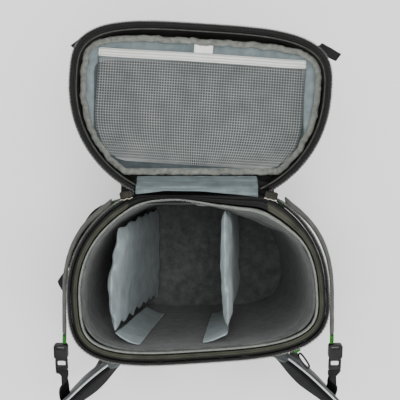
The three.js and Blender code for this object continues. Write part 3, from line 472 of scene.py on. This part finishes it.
def mouth_outline(inset, count, turn=MOUTH_TURN):
    dense = []
    for k in range(DENSE):
        across, deep = rounded_d(2 * math.pi * k / DENSE, HALF_WIDTH - inset, FRONT_DEPTH - inset,
            BACK_DEPTH - inset)
        x = across * math.cos(turn) - deep * math.sin(turn)
        y = WIDEST_LINE + across * math.sin(turn) + deep * math.cos(turn)
        dense.append(Vector((x, min(y, HINGE_LINE - inset), 0)))
    return stations_of(dense, count)


def lid_outline(count, side=ZIP_WIDTH, far=ZIP_WIDTH, hinge=0.0, square=0):
    dense = []
    for k in range(DENSE):
        across, deep = rounded_d(-2 * math.pi * k / DENSE, HALF_WIDTH - side, LID_NEAR - side,
            LID_FAR - far, square)
        x = LID_CENTRE.x + across * math.cos(LID_TURN) + deep * math.sin(LID_TURN)
        y = LID_CENTRE.y + across * math.sin(LID_TURN) - deep * math.cos(LID_TURN)
        dense.append(Vector((x, max(y, HINGE_LINE + HINGE_GAP + hinge), 0)))
    return stations_of(dense, count)


def lid_point(across, deep, z):
    return Vector((
        LID_CENTRE.x + across * math.cos(LID_TURN) - deep * math.sin(LID_TURN),
        LID_CENTRE.y + across * math.sin(LID_TURN) + deep * math.cos(LID_TURN),
        z,
    ))


NOWHERE = Vector((0, 0, 0))


def still(k, out):
    return 0, 0, NOWHERE


def hoop(name, stations, section, base, *finishes, wave=still, closed=True, replaces=(),
         inner_rows=()):
    """A band round an outline, from (out, up) corners in mm; inner_rows take a second finish."""
    corners = len(section)
    spans = len(stations) if closed else len(stations) - 1

    def surface(k, corner):
        point, outward = stations[k % len(stations)]
        out, up = section[corner % corners]
        more_out, more_up, drift = wave(k % len(stations), out)
        place = point + outward * (out + more_out) * MM + drift
        return Vector((place.x, place.y, base + (up + more_up) * MM))

    mesh = grid_of(spans, corners, surface)
    if len(finishes) > 1:
        for face in mesh.faces:
            row = face.index // spans
            face.material_index = 1 if row in inner_rows else 0
    bmesh.ops.remove_doubles(mesh, verts=mesh.verts, dist=1e-6)
    if not closed:
        ends = [edge for edge in mesh.edges if edge.is_boundary]
        bmesh.ops.holes_fill(mesh, edges=ends, sides=corners)
    bmesh.ops.recalc_face_normals(mesh, faces=mesh.faces)
    return piece(name, mesh, *finishes, replaces=replaces)


def open_run(stations, on_hinge):
    """The stretch of an outline that isn't on the hinge line."""
    count = len(stations)
    first = next(k for k in range(count)
                 if not on_hinge(stations[k][0]) and on_hinge(stations[k - 1][0]))
    turned = stations[first:] + stations[:first]
    return [station for station in turned if not on_hinge(station[0])]


def bars(name, stations, size, base, finish, out=0.0, zigzag=0.0, lean=0.0):
    """A row of small blocks along an outline: zip teeth or stitches. size is along, across, up."""
    mesh = bmesh.new()
    for k, (point, outward) in enumerate(stations):
        side = 1 if k % 2 else -1
        heading = math.atan2(outward.y, outward.x) + side * zigzag
        place = point + outward * (out + side * lean)
        matrix = Matrix.Translation((place.x, place.y, base + point.z))
        matrix @= Matrix.Rotation(heading, 4, "Z")
        matrix @= Matrix.Diagonal((size[1], size[0], size[2], 1))
        bmesh.ops.create_cube(mesh, size=1, matrix=matrix)
    return piece(name, mesh, finish)


# The mouth: padded roll, binding, zip tape and teeth

MOUTH_STATIONS = 360
mouth = mouth_outline(ZIP_WIDTH, MOUTH_STATIONS)
COLLAR_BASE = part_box("rim_band")[0].z
ROLL = [
    (-0.2, -3), (-0.2, 2), (-0.2, 5.4), (-0.6, 7), (-2.0, 7.9), (-3.0, 7.5), (-3.5, 8.8), (-4.4, 9.7),
    (-5.2, 9.3), (-5.6, 8.4), (-6.0, 9.2), (-6.9, 9.4), (-7.6, 8), (-7.6, -3),
]
OLIVE_ROWS = (5, 6, 7, 8, 9, 10, 11, 12)
TRIM_REACH = 9.7
# How far the mouth's edge comes in from the hinge line, in mm, against x in mm: it arches high on
# the left and runs low on the right.
ARCH = [
    (-90, 0), (-75, 0.4), (-62, -0.6), (-48, -3), (-33, -5), (-14, -5.6), (-6, -3.8), (0, -0.4),
    (5, 0), (12, -0.6), (24, 2), (43, 5), (60, 6.6), (72, 7.2), (91, 3.9), (104.5, 1.7), (118, 0),
]


def arch_at(x):
    x /= MM
    for (low, first), (high, second) in zip(ARCH, ARCH[1:]):
        if low <= x <= high:
            return first + (second - first) * (x - low) / (high - low)
    return 0.0


def running_mean(vectors, reach):
    """Each vector of a closed run, averaged with its neighbours."""
    count = len(vectors)
    return [sum((vectors[(k + j) % count] for j in range(-reach, reach + 1)), Vector((0, 0, 0)))
            / (2 * reach + 1) for k in range(count)]


def arched(stations, ripple):
    """A wave for hoop that draws the rim's inner edge to the soft arch of the mouth."""
    straight = [point - outward * TRIM_REACH * MM for point, outward in stations]
    pulled = [place - outward * (arch_at(place.x) * MM if outward.y > 0.2 else 0)
              for place, (point, outward) in zip(straight, stations)]
    softened = running_mean(pulled, 9)
    drift = []
    for place, soft, (point, outward) in zip(straight, softened, stations):
        hinge_side = max(0.0, min(1.0, (place.y - 25 * MM) / (25 * MM)))
        drift.append((soft - place) * hinge_side)

    def wave(k, out):
        more_out, more_up = ripple(k)
        return more_out, more_up, drift[k] * (-out / TRIM_REACH)
    return wave


def roll_ripple(k):
    return (0.15 * noise.noise(Vector((k * 0.16, 3, 0))),
            0.35 * noise.noise(Vector((k * 0.09, 8, 0))))


collar = hoop("collar_roll", mouth, ROLL, COLLAR_BASE, tape, roll,
    wave=arched(mouth, roll_ripple), replaces=("rim_band",), inner_rows=OLIVE_ROWS)
for face in collar.data.polygons:
    if face.center.y > 60 * MM and abs(face.center.x) < 70 * MM:
        face.material_index = 0
rounded(collar)

BINDING_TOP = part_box("mouth_binding")[1].z
TRIM = [(-8.3, -6.6), (-8.3, -0.5), (-9.2, 0), (-10.3, -0.2), (-10.9, -1.2), (-10.9, -6.6)]


def trim_ripple(k):
    return (0.25 * noise.noise(Vector((k * 0.55, 1, 0))),
            0.4 * noise.noise(Vector((k * 0.42, 5, 0))))


trim = hoop("mouth_trim", mouth, TRIM, BINDING_TOP - 0.3 * MM, edging,
    wave=arched(mouth, trim_ripple), replaces=("mouth_binding",))
rounded(trim)
stitch_stations = mouth_outline(ZIP_WIDTH, 300)
stitch_wave = arched(stitch_stations, trim_ripple)
stitch_places = [(point + stitch_wave(k, -TRIM_REACH)[2], outward)
                 for k, (point, outward) in enumerate(stitch_stations)]
mouth_stitches = bars("mouth_stitches", stitch_places, (0.45 * MM, 2.2 * MM, 0.45 * MM),
    BINDING_TOP - 0.15 * MM, thread, out=-TRIM_REACH * MM, zigzag=math.radians(38))


def on_body_hinge(point):
    return point.y > HINGE_LINE - ZIP_WIDTH - 1 * MM


def on_lid_hinge(point):
    return point.y < HINGE_LINE + HINGE_GAP + 1 * MM


TAPE = [(0, -0.6), (3.0, 0.3), (3.6, 1.6), (3.2, 3.1), (1.8, 4.3), (0, 4.7)]
TOOTH = (1.0 * MM, 1.8 * MM, 1.5 * MM)
ZIP_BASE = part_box("body_zip")[0].z
body_run = open_run(mouth, on_body_hinge)
body_tape = hoop("mouth_tape", body_run, TAPE, ZIP_BASE, tape, closed=False,
    replaces=("body_zip",))
body_teeth = bars("mouth_teeth", open_run(mouth_outline(ZIP_WIDTH, 420), on_body_hinge), TOOTH,
    ZIP_BASE + 4.1 * MM, tooth, out=2.9 * MM, lean=0.25 * MM)

# The lid's edge: tape, teeth, wall and its piping

LID_STATIONS = 360
lid_edge = lid_outline(LID_STATIONS)
lid_run = open_run(lid_edge, on_lid_hinge)
LID_ZIP_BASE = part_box("lid_zip")[0].z
LID_TAPE = [(-1.6, -0.6), (3.0, 0.3), (3.6, 1.6), (3.2, 3.1), (1.8, 4.3), (-1.6, 4.5)]
lid_tape = hoop("lid_tape", lid_run, LID_TAPE, LID_ZIP_BASE, tape, closed=False,
    replaces=("lid_zip",))
lid_teeth = bars("lid_teeth", open_run(lid_outline(400), on_lid_hinge), TOOTH,
    LID_ZIP_BASE + 4.1 * MM, tooth, out=2.9 * MM, lean=0.25 * MM)

lid_wall = piece("lid_wall", crumple(refined(cad_copy("lid_shell", HELD), 2), 0.6 * MM, 7 * MM, 4,
    (1, 1, 0.15)), shell, replaces=("lid_shell",))
lid_piping_path = [point + Vector((0, 0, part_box("lid_shell")[1].z - 1.6 * MM))
                   for point, outward in open_run(lid_outline(120, side=ZIP_WIDTH + 3.4 * MM,
                       far=ZIP_WIDTH + 4.2 * MM), on_lid_hinge)]
lid_piping = cord("lid_piping", lid_piping_path, 0.8 * MM, lid_cord)

# The lid's puckered lining and its gathered binding


def shade_under_net(finish):
    """Darkens the cloth that lies behind the net pocket with painted shade."""
    colour = finish.shader.inputs["Base Color"].links[0].from_socket
    x, y, z = finish.axes()
    middle = lid_point(0, POCKET_TOP - POCKET_LENGTH / 2, 0)
    across = (x - middle.x) * (1 / (POCKET_HALF * 1.02))
    along = (y - middle.y) * (1 / (POCKET_LENGTH * 0.53))
    edge = across.power(16) + along.power(16)
    net_shade_mask = ((1 - edge) * 6).math("MINIMUM", (1 - edge) * 6, 1)
    net_shade_mask = net_shade_mask.math("MAXIMUM", net_shade_mask, 0)
    # Painted shade: inside the pocket's outline the lining colour is multiplied by a dark grey.
    dark = finish.node("ShaderNodeMix", {"data_type": "RGBA", "blend_type": "MULTIPLY"},
        {0: net_shade_mask, 6: Amount(finish.tree, colour), 7: (0.3, 0.3, 0.31, 1)}, 2)
    finish.feed(Base_Color=dark)


LINING_STATIONS = 420
LINING_EDGE = {"side": 9.5 * MM, "far": 13 * MM, "hinge": 16 * MM, "square": 1}
puckered = crumple(refined(cad_copy("lid_lining", HELD), 2), 1.5 * MM, 8 * MM, 2, (1, 1, 0.3))
shaded = woven("lid_lining_cloth", "lining", tone(82, 92, 95), tone(116, 127, 129), 0.7, 0.8 * MM,
    0.05 * MM, 9 * MM, 0.05 * MM, 0.05)
shade_under_net(shaded)
lid_lining = piece("puckered_lining", puckered, shaded, replaces=("lid_lining",))
gather_line = lid_outline(LINING_STATIONS, **LINING_EDGE)
GATHER_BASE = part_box("lid_binding")[0].z
GATHERED = [
    (0.4, 0.2), (0.5, 2.4), (-1.4, 3.5), (-3.8, 3.1), (-6.2, 1.9), (-6.4, 1.1), (-3.8, 1.9),
    (-1.6, 1.6),
]


def gather_wave(k, out):
    fine = noise.noise(Vector((k * 0.42, 2, 0)))
    slow = noise.noise(Vector((k * 0.13, 7, 0)))
    return 1.1 * fine + 1.5 * slow, 0.9 * noise.noise(Vector((k * 0.5, 4, 0))), NOWHERE


gathered = hoop("gathered_binding", gather_line, GATHERED, GATHER_BASE, edging, wave=gather_wave,
    replaces=("lid_binding",))
rounded(gathered)

# The net pocket, its elastic band and its pull


def surface_points(node):
    return [vertex.co.copy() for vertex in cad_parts[node].data.vertices]


def height_of(points, place, spread=6 * MM):
    """Height of the middle of a thin solid under a place, from the solid's own points near it."""
    total = 0.0
    weights = 0.0
    for point in points:
        away = (point.x - place.x) ** 2 + (point.y - place.y) ** 2
        if away > (3.5 * spread) ** 2:
            continue
        weight = math.exp(-away / (2 * spread * spread))
        total += weight * point.z
        weights += weight
    return total / weights


pocket_points = surface_points("mesh_pocket")


def net_place(column, row):
    along = row / NET_ROWS
    from_foot = max(0.0, POCKET_CORNER.y - along * POCKET_LENGTH) / POCKET_CORNER.y
    narrow = POCKET_CORNER.x * (1 - math.sqrt(1 - from_foot * from_foot))
    across = (2 * column / NET_COLUMNS - 1) * (POCKET_HALF - narrow)
    return lid_point(across, POCKET_TOP - (1 - along) * POCKET_LENGTH, 0)


def net_surface(column, row):
    place = net_place(column, row)
    place.z = height_of(pocket_points, place) + 0.4 * MM * noise.noise(place / (15 * MM))
    return place


net_mesh = grid_of(NET_COLUMNS, NET_ROWS, net_surface)
holes = list(net_mesh.faces)
bmesh.ops.inset_individual(net_mesh, faces=holes, thickness=NET_STRAND)
bmesh.ops.delete(net_mesh, geom=holes, context="FACES")
net = walled(piece("net_cloth", net_mesh, knit, replaces=("mesh_pocket",)), 0.3 * MM)

net_sides = []
for column in (0, NET_COLUMNS):
    line = [net_surface(column, row / 2) for row in range(2 * NET_ROWS + 1)]
    net_sides += [(point, Vector((1, 0, 0))) for point in line]
net_stitches = bars("net_stitches", net_sides, (0.5 * MM, 1.8 * MM, 0.5 * MM), 0.5 * MM, dots,
    zigzag=math.radians(40))

band = piece("elastic_band", refined(cad_copy("pocket_band", 40), 2), elastic,
    replaces=("pocket_band",))
pull = piece("pocket_pull", refined(cad_copy("pocket_tab", 40), 2), elastic,
    replaces=("pocket_tab",))
band_points = surface_points("pocket_band")
BAND_DOTS = 84
dot_places = []
for share in (0.16, 0.5, 0.84):
    for k in range(BAND_DOTS):
        across = (2 * (k + 0.5 + 0.5 * (share == 0.5)) / BAND_DOTS - 1) * (POCKET_HALF - 1 * MM)
        place = lid_point(across, POCKET_TOP + 0.3 * MM + share * BAND_HEIGHT, 0)
        place.z = height_of(band_points, place, 9 * MM) + 1.5 * MM
        dot_places.append((place, Vector((0, 1, 0))))
band_stitches = bars("band_stitches", dot_places, (1.0 * MM, 0.9 * MM, 0.8 * MM), 0, dots)

# Hinge cloth with its flattened folds

HINGE_EDGE = [(-90, 82), (-62, 82.7), (-33, 86.3), (0, 85.4), (61.5, 79), (90, 76)]
hinge_low, hinge_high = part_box("hinge_panel")
hinge_mesh = refined(cad_copy("hinge_panel", 50), 2)
for vertex in hinge_mesh.verts:
    x = vertex.co.x / MM
    near = next(first + (second - first) * (x - low) / (high - low)
                for (low, first), (high, second) in zip(HINGE_EDGE, HINGE_EDGE[1:])
                if low <= x <= high) * MM
    share = (vertex.co.y - hinge_low.y) / (hinge_high.y - hinge_low.y)
    vertex.co.y += (near - hinge_low.y) * (1 - share)
    run = vertex.co.y / MM + 1.5 * noise.noise(Vector((x / 30, 5, 0)))
    vertex.co.z += 0.9 * MM * math.sin(run * 0.85)
fold_blue = woven("hinge_cloth_blue", "lining", tone(70, 80, 82), tone(104, 114, 115), 0.68,
    0.8 * MM, 0.05 * MM, 12 * MM, 0.05 * MM, 0.05)
x, y, z = fold_blue.axes()
# Painted shade: thin darker lines along the folds, where the lining colour is multiplied by a dark
# blue-grey.
crease = (y * 850 + fold_blue.cloud(30 * MM) * 4).sine()
fold_blue.feed(Base_Color=fold_blue.node("ShaderNodeMix", {"data_type": "RGBA",
    "blend_type": "MULTIPLY"}, {
        0: (crease * 0.5).above(0.36) * 0.35,
        6: Amount(fold_blue.tree, fold_blue.shader.inputs["Base Color"].links[0].from_socket),
        7: (0.45, 0.47, 0.5, 1),
    }, 2))
hinge = piece("hinge_cloth", crumple(hinge_mesh, 0.6 * MM, 14 * MM, 6, (0.4, 1.6, 1)), fold_blue,
    replaces=("hinge_panel",))

# The dark gusset that folds below the hinge cloth, from the body's edge to the lid's


def gusset_surface(column, row):
    across = column / 44
    along = row / 12
    x = (-79 + 157 * across) * MM
    near = (72 + 2.5 * math.sin(math.pi * across)) * MM
    far = (93 + 11 * min(1.0, 5 * across, 5 * (1 - across))) * MM
    fold = 1.3 * math.sin(along * 11 + 0.6 * math.sin(x / (12 * MM)))
    sag = -6 * math.sin(math.pi * along)
    return Vector((x, near + (far - near) * along, (331 - 11 * along + sag + fold) * MM))


gusset_mesh = grid_of(44, 12, gusset_surface)
gusset = walled(piece("hinge_gusset", crumple(gusset_mesh, 0.7 * MM, 9 * MM, 8), tape), 0.8 * MM)

# Inside: pile lining, dividers and their flaps

INSIDE_FLOOR = 22 * MM


def follow_arch(mesh, facing_in):
    """Moves the cloth at the hinge side with the arch of the mouth, less and less further down."""
    for vertex in mesh.verts:
        if facing_in and vertex.normal.y > 0:
            continue
        if vertex.co.y > 20 * MM and vertex.co.z > 150 * MM:
            share = (vertex.co.z - 150 * MM) / (190 * MM)
            vertex.co.y -= arch_at(vertex.co.x) * MM * share


inner_mesh = refined(cad_copy("lining", HELD), 3)
inner_mesh.normal_update()
for vertex in inner_mesh.verts:
    place = vertex.co
    inward = vertex.normal.x * place.x + vertex.normal.y * (place.y + 5 * MM) < 0
    if not inward or place.z < INSIDE_FLOOR:
        continue
    depth = (MOUTH_TOP - place.z) / MOUTH_TOP
    hang = max(0.0, math.sin(math.pi * min(1.0, depth * 1.15)))
    far = max(0.0, min(1.0, (place.y - 25 * MM) / (30 * MM)))
    aside = math.exp(-((place.x - 66 * MM) / (36 * MM)) ** 2)
    fold = math.sin(place.z / (9 * MM) + 0.03 * place.x / MM + 2.2 * noise.noise(place / (30 * MM)))
    vertex.co.y -= far * aside * hang * (11 + 3.0 * fold) * MM
follow_arch(inner_mesh, False)
inner = piece("pile_lining", crumple(inner_mesh, 1.0 * MM, 20 * MM, 9), pile,
    replaces=("lining",))
DIVIDERS = [
    {"side": "left", "seed": 11, "stretch": (1, 1.5, 0.5), "slope": 0.8},
    {"side": "right", "seed": 15, "stretch": (1, 1.2, 0.6), "slope": -0.5},
]
for row in DIVIDERS:
    node = f"divider_{row['side']}"
    made = piece(f"{node}_pad", refined(cad_copy(node), 1), pad, replaces=(node,))
    swollen(made, 4.5 * MM, 4, 2.2 * MM)
    soft_low, soft_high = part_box(node)
    soft = bmesh.new()
    soft.from_mesh(made.data)
    crumple(soft, 1.5 * MM, 16 * MM, row["seed"], row["stretch"])
    for vertex in soft.verts:
        run = (vertex.co.y * 0.75 + vertex.co.z * row["slope"]) / (6.5 * MM)
        crease = max(0.0, math.sin(run + 2.4 * noise.noise(vertex.co / (40 * MM)))) ** 4
        across = math.copysign(1.0, vertex.co.x - (soft_low.x + soft_high.x) / 2)
        vertex.co.x -= across * 0.9 * MM * crease
    soft.to_mesh(made.data)
    soft.free()
    rounded(made)
    flap = f"divider_flap_{row['side']}"
    flap_mesh = refined(cad_copy(flap, HELD), 2)
    low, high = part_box(flap)
    root = low.x if row["side"] == "left" else high.x
    for vertex in flap_mesh.verts:
        near_root = max(0.0, 1 - abs(vertex.co.x - root) / (7 * MM))
        vertex.co.y += 1.6 * MM * near_root
    piece(f"{flap}_cloth", crumple(flap_mesh, 0.8 * MM, 12 * MM, row["seed"]), pad,
        replaces=(flap,))

# Outer cloth of the body

outer_mesh = refined(cad_copy("body_shell", HELD), 2)
outer_mesh.normal_update()
for vertex in outer_mesh.verts:
    place = vertex.co
    outward = vertex.normal.x * place.x + vertex.normal.y * (place.y + 5 * MM) > 0
    if not outward and 1 * MM < place.z < 336 * MM:
        vertex.co -= vertex.normal * 2.2 * MM
        if place.y > 20 * MM and place.z > 150 * MM:
            share = (place.z - 150 * MM) / (190 * MM)
            vertex.co.y += max(0.0, -arch_at(place.x)) * MM * share
    if not outward or place.z > 322 * MM or place.z < 1 * MM:
        continue
    soft = noise.noise(Vector((place.x, place.y, place.z * 0.6)) / (34 * MM) + Vector((20, 4, 1)))
    fine = noise.noise(Vector((place.x, place.y, place.z * 0.8)) / (13 * MM) + Vector((3, 9, 5)))
    fade = min(1.0, (322 * MM - place.z) / (40 * MM), place.z / (12 * MM))
    vertex.co += vertex.normal * (2.4 * soft + 0.7 * fine) * fade * MM
outer = piece("outer_cloth", outer_mesh, shell, replaces=("body_shell",))

# Padded straps: slate outer face and edges, mesh towards the wearer, white piping between


def chain(edges):
    """The points along a run of joined edges."""
    links = {}
    for edge in edges:
        for vertex in edge.verts:
            links.setdefault(vertex, []).append(edge)
    start = next(vertex for vertex, joined in links.items() if len(joined) == 1)
    points = [start.co.copy()]
    last = None
    while True:
        following = [edge for edge in links[start] if edge is not last]
        if not following:
            return points
        last = following[0]
        start = last.other_vert(start)
        points.append(start.co.copy())


def chains(edges):
    """Splits edges into their separate runs."""
    left = set(edges)
    runs = []
    while left:
        group = set()
        stack = [left.pop()]
        while stack:
            edge = stack.pop()
            group.add(edge)
            for vertex in edge.verts:
                for near in vertex.link_edges:
                    if near in left:
                        left.discard(near)
                        stack.append(near)
        runs.append(chain(group))
    return runs


LONG_EDGE = (9 * MM, 32 * MM)


def lengthwise(edge):
    return LONG_EDGE[0] < edge.calc_length() < LONG_EDGE[1] and len(edge.link_faces) == 2


def beside(faces, apart_from):
    """The faces across the lengthwise edges of some faces."""
    found = set()
    for face in faces:
        for edge in face.edges:
            if lengthwise(edge):
                found.update(other for other in edge.link_faces if other not in faces)
    return found - apart_from


def padded_strap(side):
    node = f"shoulder_strap_{side}"
    mesh = cad_copy(node)
    mesh.normal_update()
    broad = [face for face in mesh.faces if face.calc_area() > 300 * MM * MM]
    worn = {face for face in broad if face.normal.y < 0}
    shown = set(broad) - worn
    flats = beside(beside(worn, shown), shown | worn) & beside(beside(shown, worn), shown | worn)
    crossing = {edge for face in flats for edge in face.edges if edge.calc_length() < LONG_EDGE[0]}
    bmesh.ops.subdivide_edges(mesh, edges=list(crossing), cuts=1, use_grid_fill=True)
    mesh.normal_update()
    broad = [face for face in mesh.faces if face.calc_area() > 300 * MM * MM]
    worn = {face for face in broad if face.normal.y < 0}
    shown = set(broad) - worn
    rim = beside(worn, shown)
    meshed = worn | rim | beside(rim, shown | worn)
    for face in mesh.faces:
        face.material_index = 1 if face in meshed else 0
    borders = [edge for edge in mesh.edges if lengthwise(edge)
               and edge.link_faces[0].material_index != edge.link_faces[1].material_index]
    for k, points in enumerate(chains(borders)):
        if len(points) > 5:
            cord(f"strap_piping_{side}_{k}", points, 1.0 * MM, piping)
    made = piece(f"padded_strap_{side}", mesh, slate, spacer, replaces=(node,))
    rounded(made, 2)
    return made


WEBBINGS = [
    {"node": "side_strap", "finish": grey_web}, {"node": "strap_end", "finish": green},
    {"node": "green_tab", "finish": green}, {"node": "anchor_webbing", "finish": web},
    {"node": "lower_webbing", "finish": web},
]
for side in ("right", "left"):
    padded_strap(side)
    for row in WEBBINGS:
        node = f"{row['node']}_{side}"
        mesh = crumple(refined(cad_copy(node, 40), 2), 0.25 * MM, 9 * MM, 3)
        piece(f"{node}_cloth", mesh, row["finish"], replaces=(node,))

# Back panel

back = piece("back_cushion", crumple(refined(cad_copy("back_panel"), 1), 0.8 * MM, 24 * MM, 31),
    back_mesh, replaces=("back_panel",))
rounded(back)

# Small ends of webbing, the ring's tab and the side pocket

LOOSE = [
    {"node": "lid_tab_left", "finish": web}, {"node": "lid_tab_right", "finish": web},
    {"node": "side_point", "finish": web}, {"node": "side_tab", "finish": web},
    {"node": "ring_tab", "finish": green},
]
for row in LOOSE:
    piece(f"{row['node']}_cloth", crumple(refined(cad_copy(row["node"], 40), 2), 0.4 * MM, 8 * MM, 5),
        row["finish"], replaces=(row["node"],))
side_pocket = piece("side_pocket_cloth", crumple(refined(cad_copy("side_pocket", 50), 2), 1.4 * MM,
    16 * MM, 13, (1, 1, 0.5)), shell, replaces=("side_pocket",))

# Hard fittings


def bevelled(mesh, width, segments=3):
    sharp = [edge for edge in mesh.edges if edge.calc_face_angle(0) > math.radians(30)]
    bmesh.ops.bevel(mesh, geom=sharp, offset=width, segments=segments, profile=0.5,
        affect="EDGES", material=-1, clamp_overlap=True)
    return mesh


for side in ("right", "left"):
    for part, width in (("buckle_socket", 1.4 * MM), ("buckle_plug", 0.8 * MM)):
        node = f"{part}_{side}"
        mesh = cad_copy(node)
        bmesh.ops.dissolve_limit(mesh, angle_limit=math.radians(3), verts=mesh.verts,
            edges=mesh.edges)
        piece(f"{node}_body", bevelled(mesh, width), plastic, replaces=(node,))
    slider = f"slider_{side}"
    mesh = cad_copy(slider)
    bmesh.ops.dissolve_limit(mesh, angle_limit=math.radians(3), verts=mesh.verts,
        edges=mesh.edges)
    piece(f"{slider}_body", bevelled(mesh, 1.1 * MM), bronze, replaces=(slider,))
    low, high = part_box(slider)
    middle = (low + high) / 2
    lean = math.radians(-12 if side == "right" else 12)
    bridge = bmesh.new()
    for offset, size in ((-3.2, (2.4, 3.4, 1.4)), (3.2, (2.4, 3.4, 1.4)), (0, (7.6, 2.0, 0.9))):
        lift = 0.5 if offset else 1.3
        matrix = Matrix.Translation((middle.x, middle.y, high.z))
        matrix @= Matrix.Rotation(lean, 4, "Z")
        matrix @= Matrix.Translation((offset * MM, 0.4 * MM, lift * MM))
        matrix @= Matrix.Diagonal((size[0] * MM, size[1] * MM, size[2] * MM, 1))
        bmesh.ops.create_cube(bridge, size=1, matrix=matrix)
    piece(f"{slider}_bridge", bevelled(bridge, 0.35 * MM, 2), bronze)
    pull_points = [middle + Matrix.Rotation(lean, 3, "Z") @ Vector((
        (k - 6) * 1.05 * MM, (-4.3 + 0.5 * math.sin(k * 1.3)) * MM, 2.6 * MM)) for k in range(13)]
    cord(f"{slider}_cord", pull_points, 0.5 * MM, bright)
ring = rounded(piece("ring_wire", cad_copy("d_ring"), plastic, replaces=("d_ring",)), 2)

# Floor and light
floor_mesh = bmesh.new()
bmesh.ops.create_grid(floor_mesh, x_segments=1, y_segments=1, size=4)
floor_data = bpy.data.meshes.new("floor")
floor_mesh.to_mesh(floor_data)
floor_mesh.free()
floor = bpy.data.objects.new("floor", floor_data)
bpy.context.scene.collection.objects.link(floor)
floor_paint = bpy.data.materials.new("floor_paint")
floor_paint.use_nodes = True
floor_paint.node_tree.nodes["Principled BSDF"].inputs["Base Color"].default_value = (0.9, 0.9, 0.9, 1)
floor_paint.node_tree.nodes["Principled BSDF"].inputs["Roughness"].default_value = 0.9
floor_data.materials.append(floor_paint)

LIGHTS = [
    {"name": "top", "place": (0.05, 0.12, 1.75), "size": 0.8, "power": 22},
    {"name": "front", "place": (0.1, -1.2, 1.5), "size": 1.2, "power": 14},
    {"name": "left", "place": (-1.3, 0.3, 1.2), "size": 1.2, "power": 11},
    {"name": "right", "place": (1.3, 0.2, 1.2), "size": 1.2, "power": 11},
]
for row in LIGHTS:
    lamp = bpy.data.lights.new(row["name"], "AREA")
    lamp.size = row["size"]
    lamp.energy = row["power"]
    holder = bpy.data.objects.new(row["name"], lamp)
    holder.location = row["place"]
    holder.rotation_euler = (Vector((0, 0.08, 0.3)) - Vector(row["place"])).to_track_quat(
        "-Z", "Y").to_euler()
    bpy.context.scene.collection.objects.link(holder)
world = bpy.data.worlds.new("studio")
world.use_nodes = True
world.node_tree.nodes["Background"].inputs["Color"].default_value = (1, 1, 1, 1)
world.node_tree.nodes["Background"].inputs["Strength"].default_value = 0.7
bpy.context.scene.world = world
